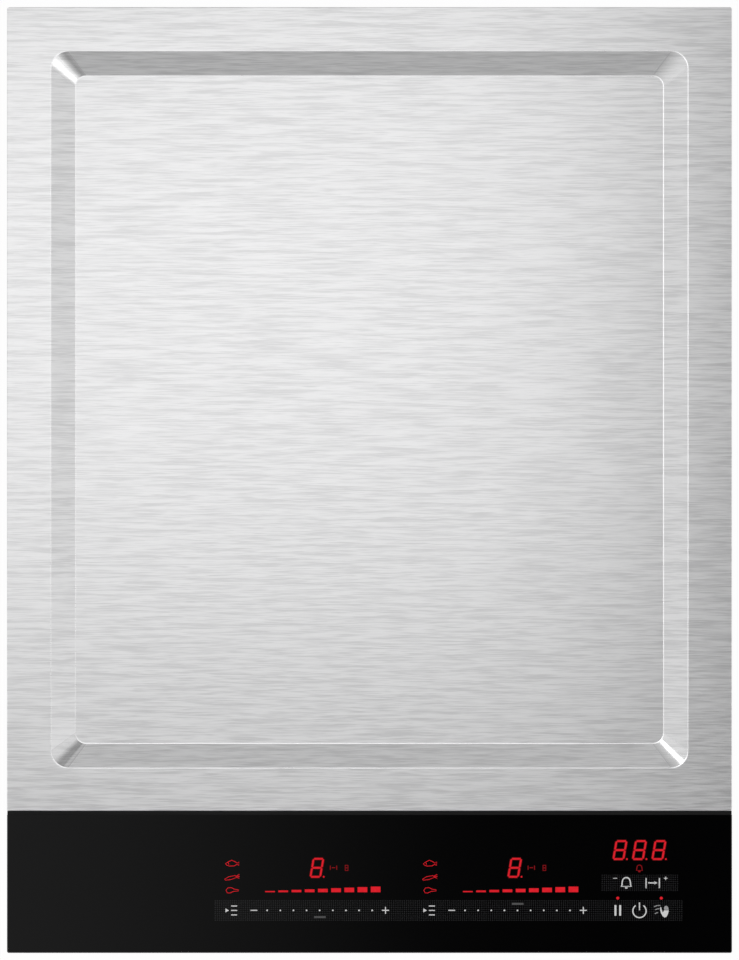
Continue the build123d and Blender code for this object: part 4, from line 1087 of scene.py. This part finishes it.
print("points between the arms:", pick(screw, "VERT", between_arms))
bpy.ops.transform.resize(value=(gap_share, gap_share, 1), center_override=(0, 0, screw_height))
pick(screw, "FACE", lambda part, middle: part.normal.z > 0.9 and middle.to_2d().length < loose)
draw_out(0, 0, -recess_depth)
bpy.ops.transform.resize(value=(foot_share, foot_share, 1), center_override=(0, 0, screw_height))
pick(screw, "EDGE", lambda part, middle: middle.z > screw_height - tight
     and middle.to_2d().length > screw_radius * 0.9)
round_edges(rim_round, 3)
done()
smooth(screw, 40)

# %% Copies on the four sides
tray_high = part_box("housing_tray")[1]
frame_sheet, screw_z = 1.0 * mm, 68.5 * mm
places = []
for side in (-1, 1):
    for y in (-205, -115, -45, 75, 145, 210):
        places.append(((side * (tray_high.x + frame_sheet), y * mm, screw_z), (0, side * math.pi / 2, 0)))
    for x in (-120, 0, 120):
        places.append(((x * mm, side * (tray_high.y + frame_sheet), screw_z), (-side * math.pi / 2, 0, 0)))
screws = [copy_of(screw, place, turn) for place, turn in places]
activate(screw)
bpy.ops.object.delete()
frame_screws = join(screws, "frame_screws")
coat(frame_screws, finishes["zinc_steel"])
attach(frame_screws, "root")
print("screws:", len(places), "faces:", len(frame_screws.data.polygons))

# %% [markdown]
# ## Springs and leads of the coils
# Each coil unit stands on four leaf springs, bent from a strip: two feet, two slopes and a crown.
# One leaf is drawn out from its first foot, edge by edge. Its bends are rounded, and Solidify
# gives the strip its thickness. Pressing a coil down flattens its leaves and shortens its two
# leads; the pieces here are made at rest.

# %% One leaf spring
leaf_width, leaf_length, leaf_sheet = 10 * mm, 46 * mm, 0.6 * mm
leaf_foot, leaf_crown, leaf_bend = 7 * mm, 10 * mm, 1.6 * mm
leaf_slope = (leaf_length - leaf_crown) / 2 - leaf_foot
springs_low, springs_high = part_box("rear_coil_springs")
leaf_rise = springs_high.z - springs_low.z - leaf_sheet
leaf = flat("leaf", (0, (leaf_foot - leaf_length) / 2, 0), leaf_width, leaf_foot)
edit(leaf)
pick(leaf, "EDGE", lambda part, middle: middle.y > leaf_foot - leaf_length / 2 - loose)
for run, rise in ((leaf_slope, leaf_rise), (leaf_crown, 0), (leaf_slope, -leaf_rise), (leaf_foot, 0)):
    draw_out(0, run, rise)
print("bends of a leaf:", pick(leaf, "EDGE", lambda part, middle: len(part.link_faces) == 2))
round_edges(leaf_bend, 4)
done()
add_modifier(leaf, "SOLIDIFY", thickness=leaf_sheet, offset=1.0, use_even_offset=True)
smooth(leaf, 40)

# %% Leads
lead_radius = 1.5 * mm


def lead(x, top, foot):
    """One lead that leaves the coil straight down, steps across and ends on the board."""
    route = [top, (top[0], 46 * mm), (top[0], 41 * mm), ((top[0] + foot[0]) / 2, 32 * mm),
             (foot[0], 23 * mm), (foot[0], 18 * mm), foot]
    curve = new_curve([[(x, y, z) for y, z in route]], kind="NURBS")
    spline = curve.data.splines[0]
    spline.order_u = 3
    spline.use_endpoint_u = True
    spline.resolution_u = 6
    thicken(curve, lead_radius, 3)
    return to_mesh(curve, "lead")


def press_with_coil(piece, node, slot):
    """The piece stands for a node under one coil: it takes a finish, hides the node and hangs on the root."""
    coat(piece, finishes[slot])
    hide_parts(node)
    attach(piece, "root")
    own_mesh(piece)
    print(piece.name, "faces:", len(piece.data.polygons))


for zone in ("front", "rear"):
    low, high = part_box(zone + "_coil_springs")
    leaves = [copy_of(leaf, (x, y, low.z)) for x in (low.x + leaf_width / 2, high.x - leaf_width / 2)
              for y in (low.y + leaf_length / 2, high.y - leaf_length / 2)]
    press_with_coil(join(leaves, zone + "_leaf_springs"), zone + "_coil_springs", "spring_steel")
    low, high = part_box(zone + "_coil_leads")
    top, foot = (low.y + lead_radius, high.z), (high.y - lead_radius, low.z)
    leads = [lead(x, top, foot) for x in (low.x + lead_radius, high.x - lead_radius)]
    press_with_coil(join(leads, zone + "_lead_pair"), zone + "_coil_leads", "wire_sleeve")
activate(leaf)
bpy.ops.object.delete()

# %% [markdown]
# ## Dress the parts of the frame
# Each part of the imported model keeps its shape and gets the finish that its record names.

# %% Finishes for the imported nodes
replaced = {"teppan_plate": plate_steels[0], "control_glass": glass_material}
for entry in frame["record"]["subparts"]:
    node = entry["node"]
    material = replaced.get(node) or finishes[entry["material_slot"]]
    coat(frame["nodes"][node], material)
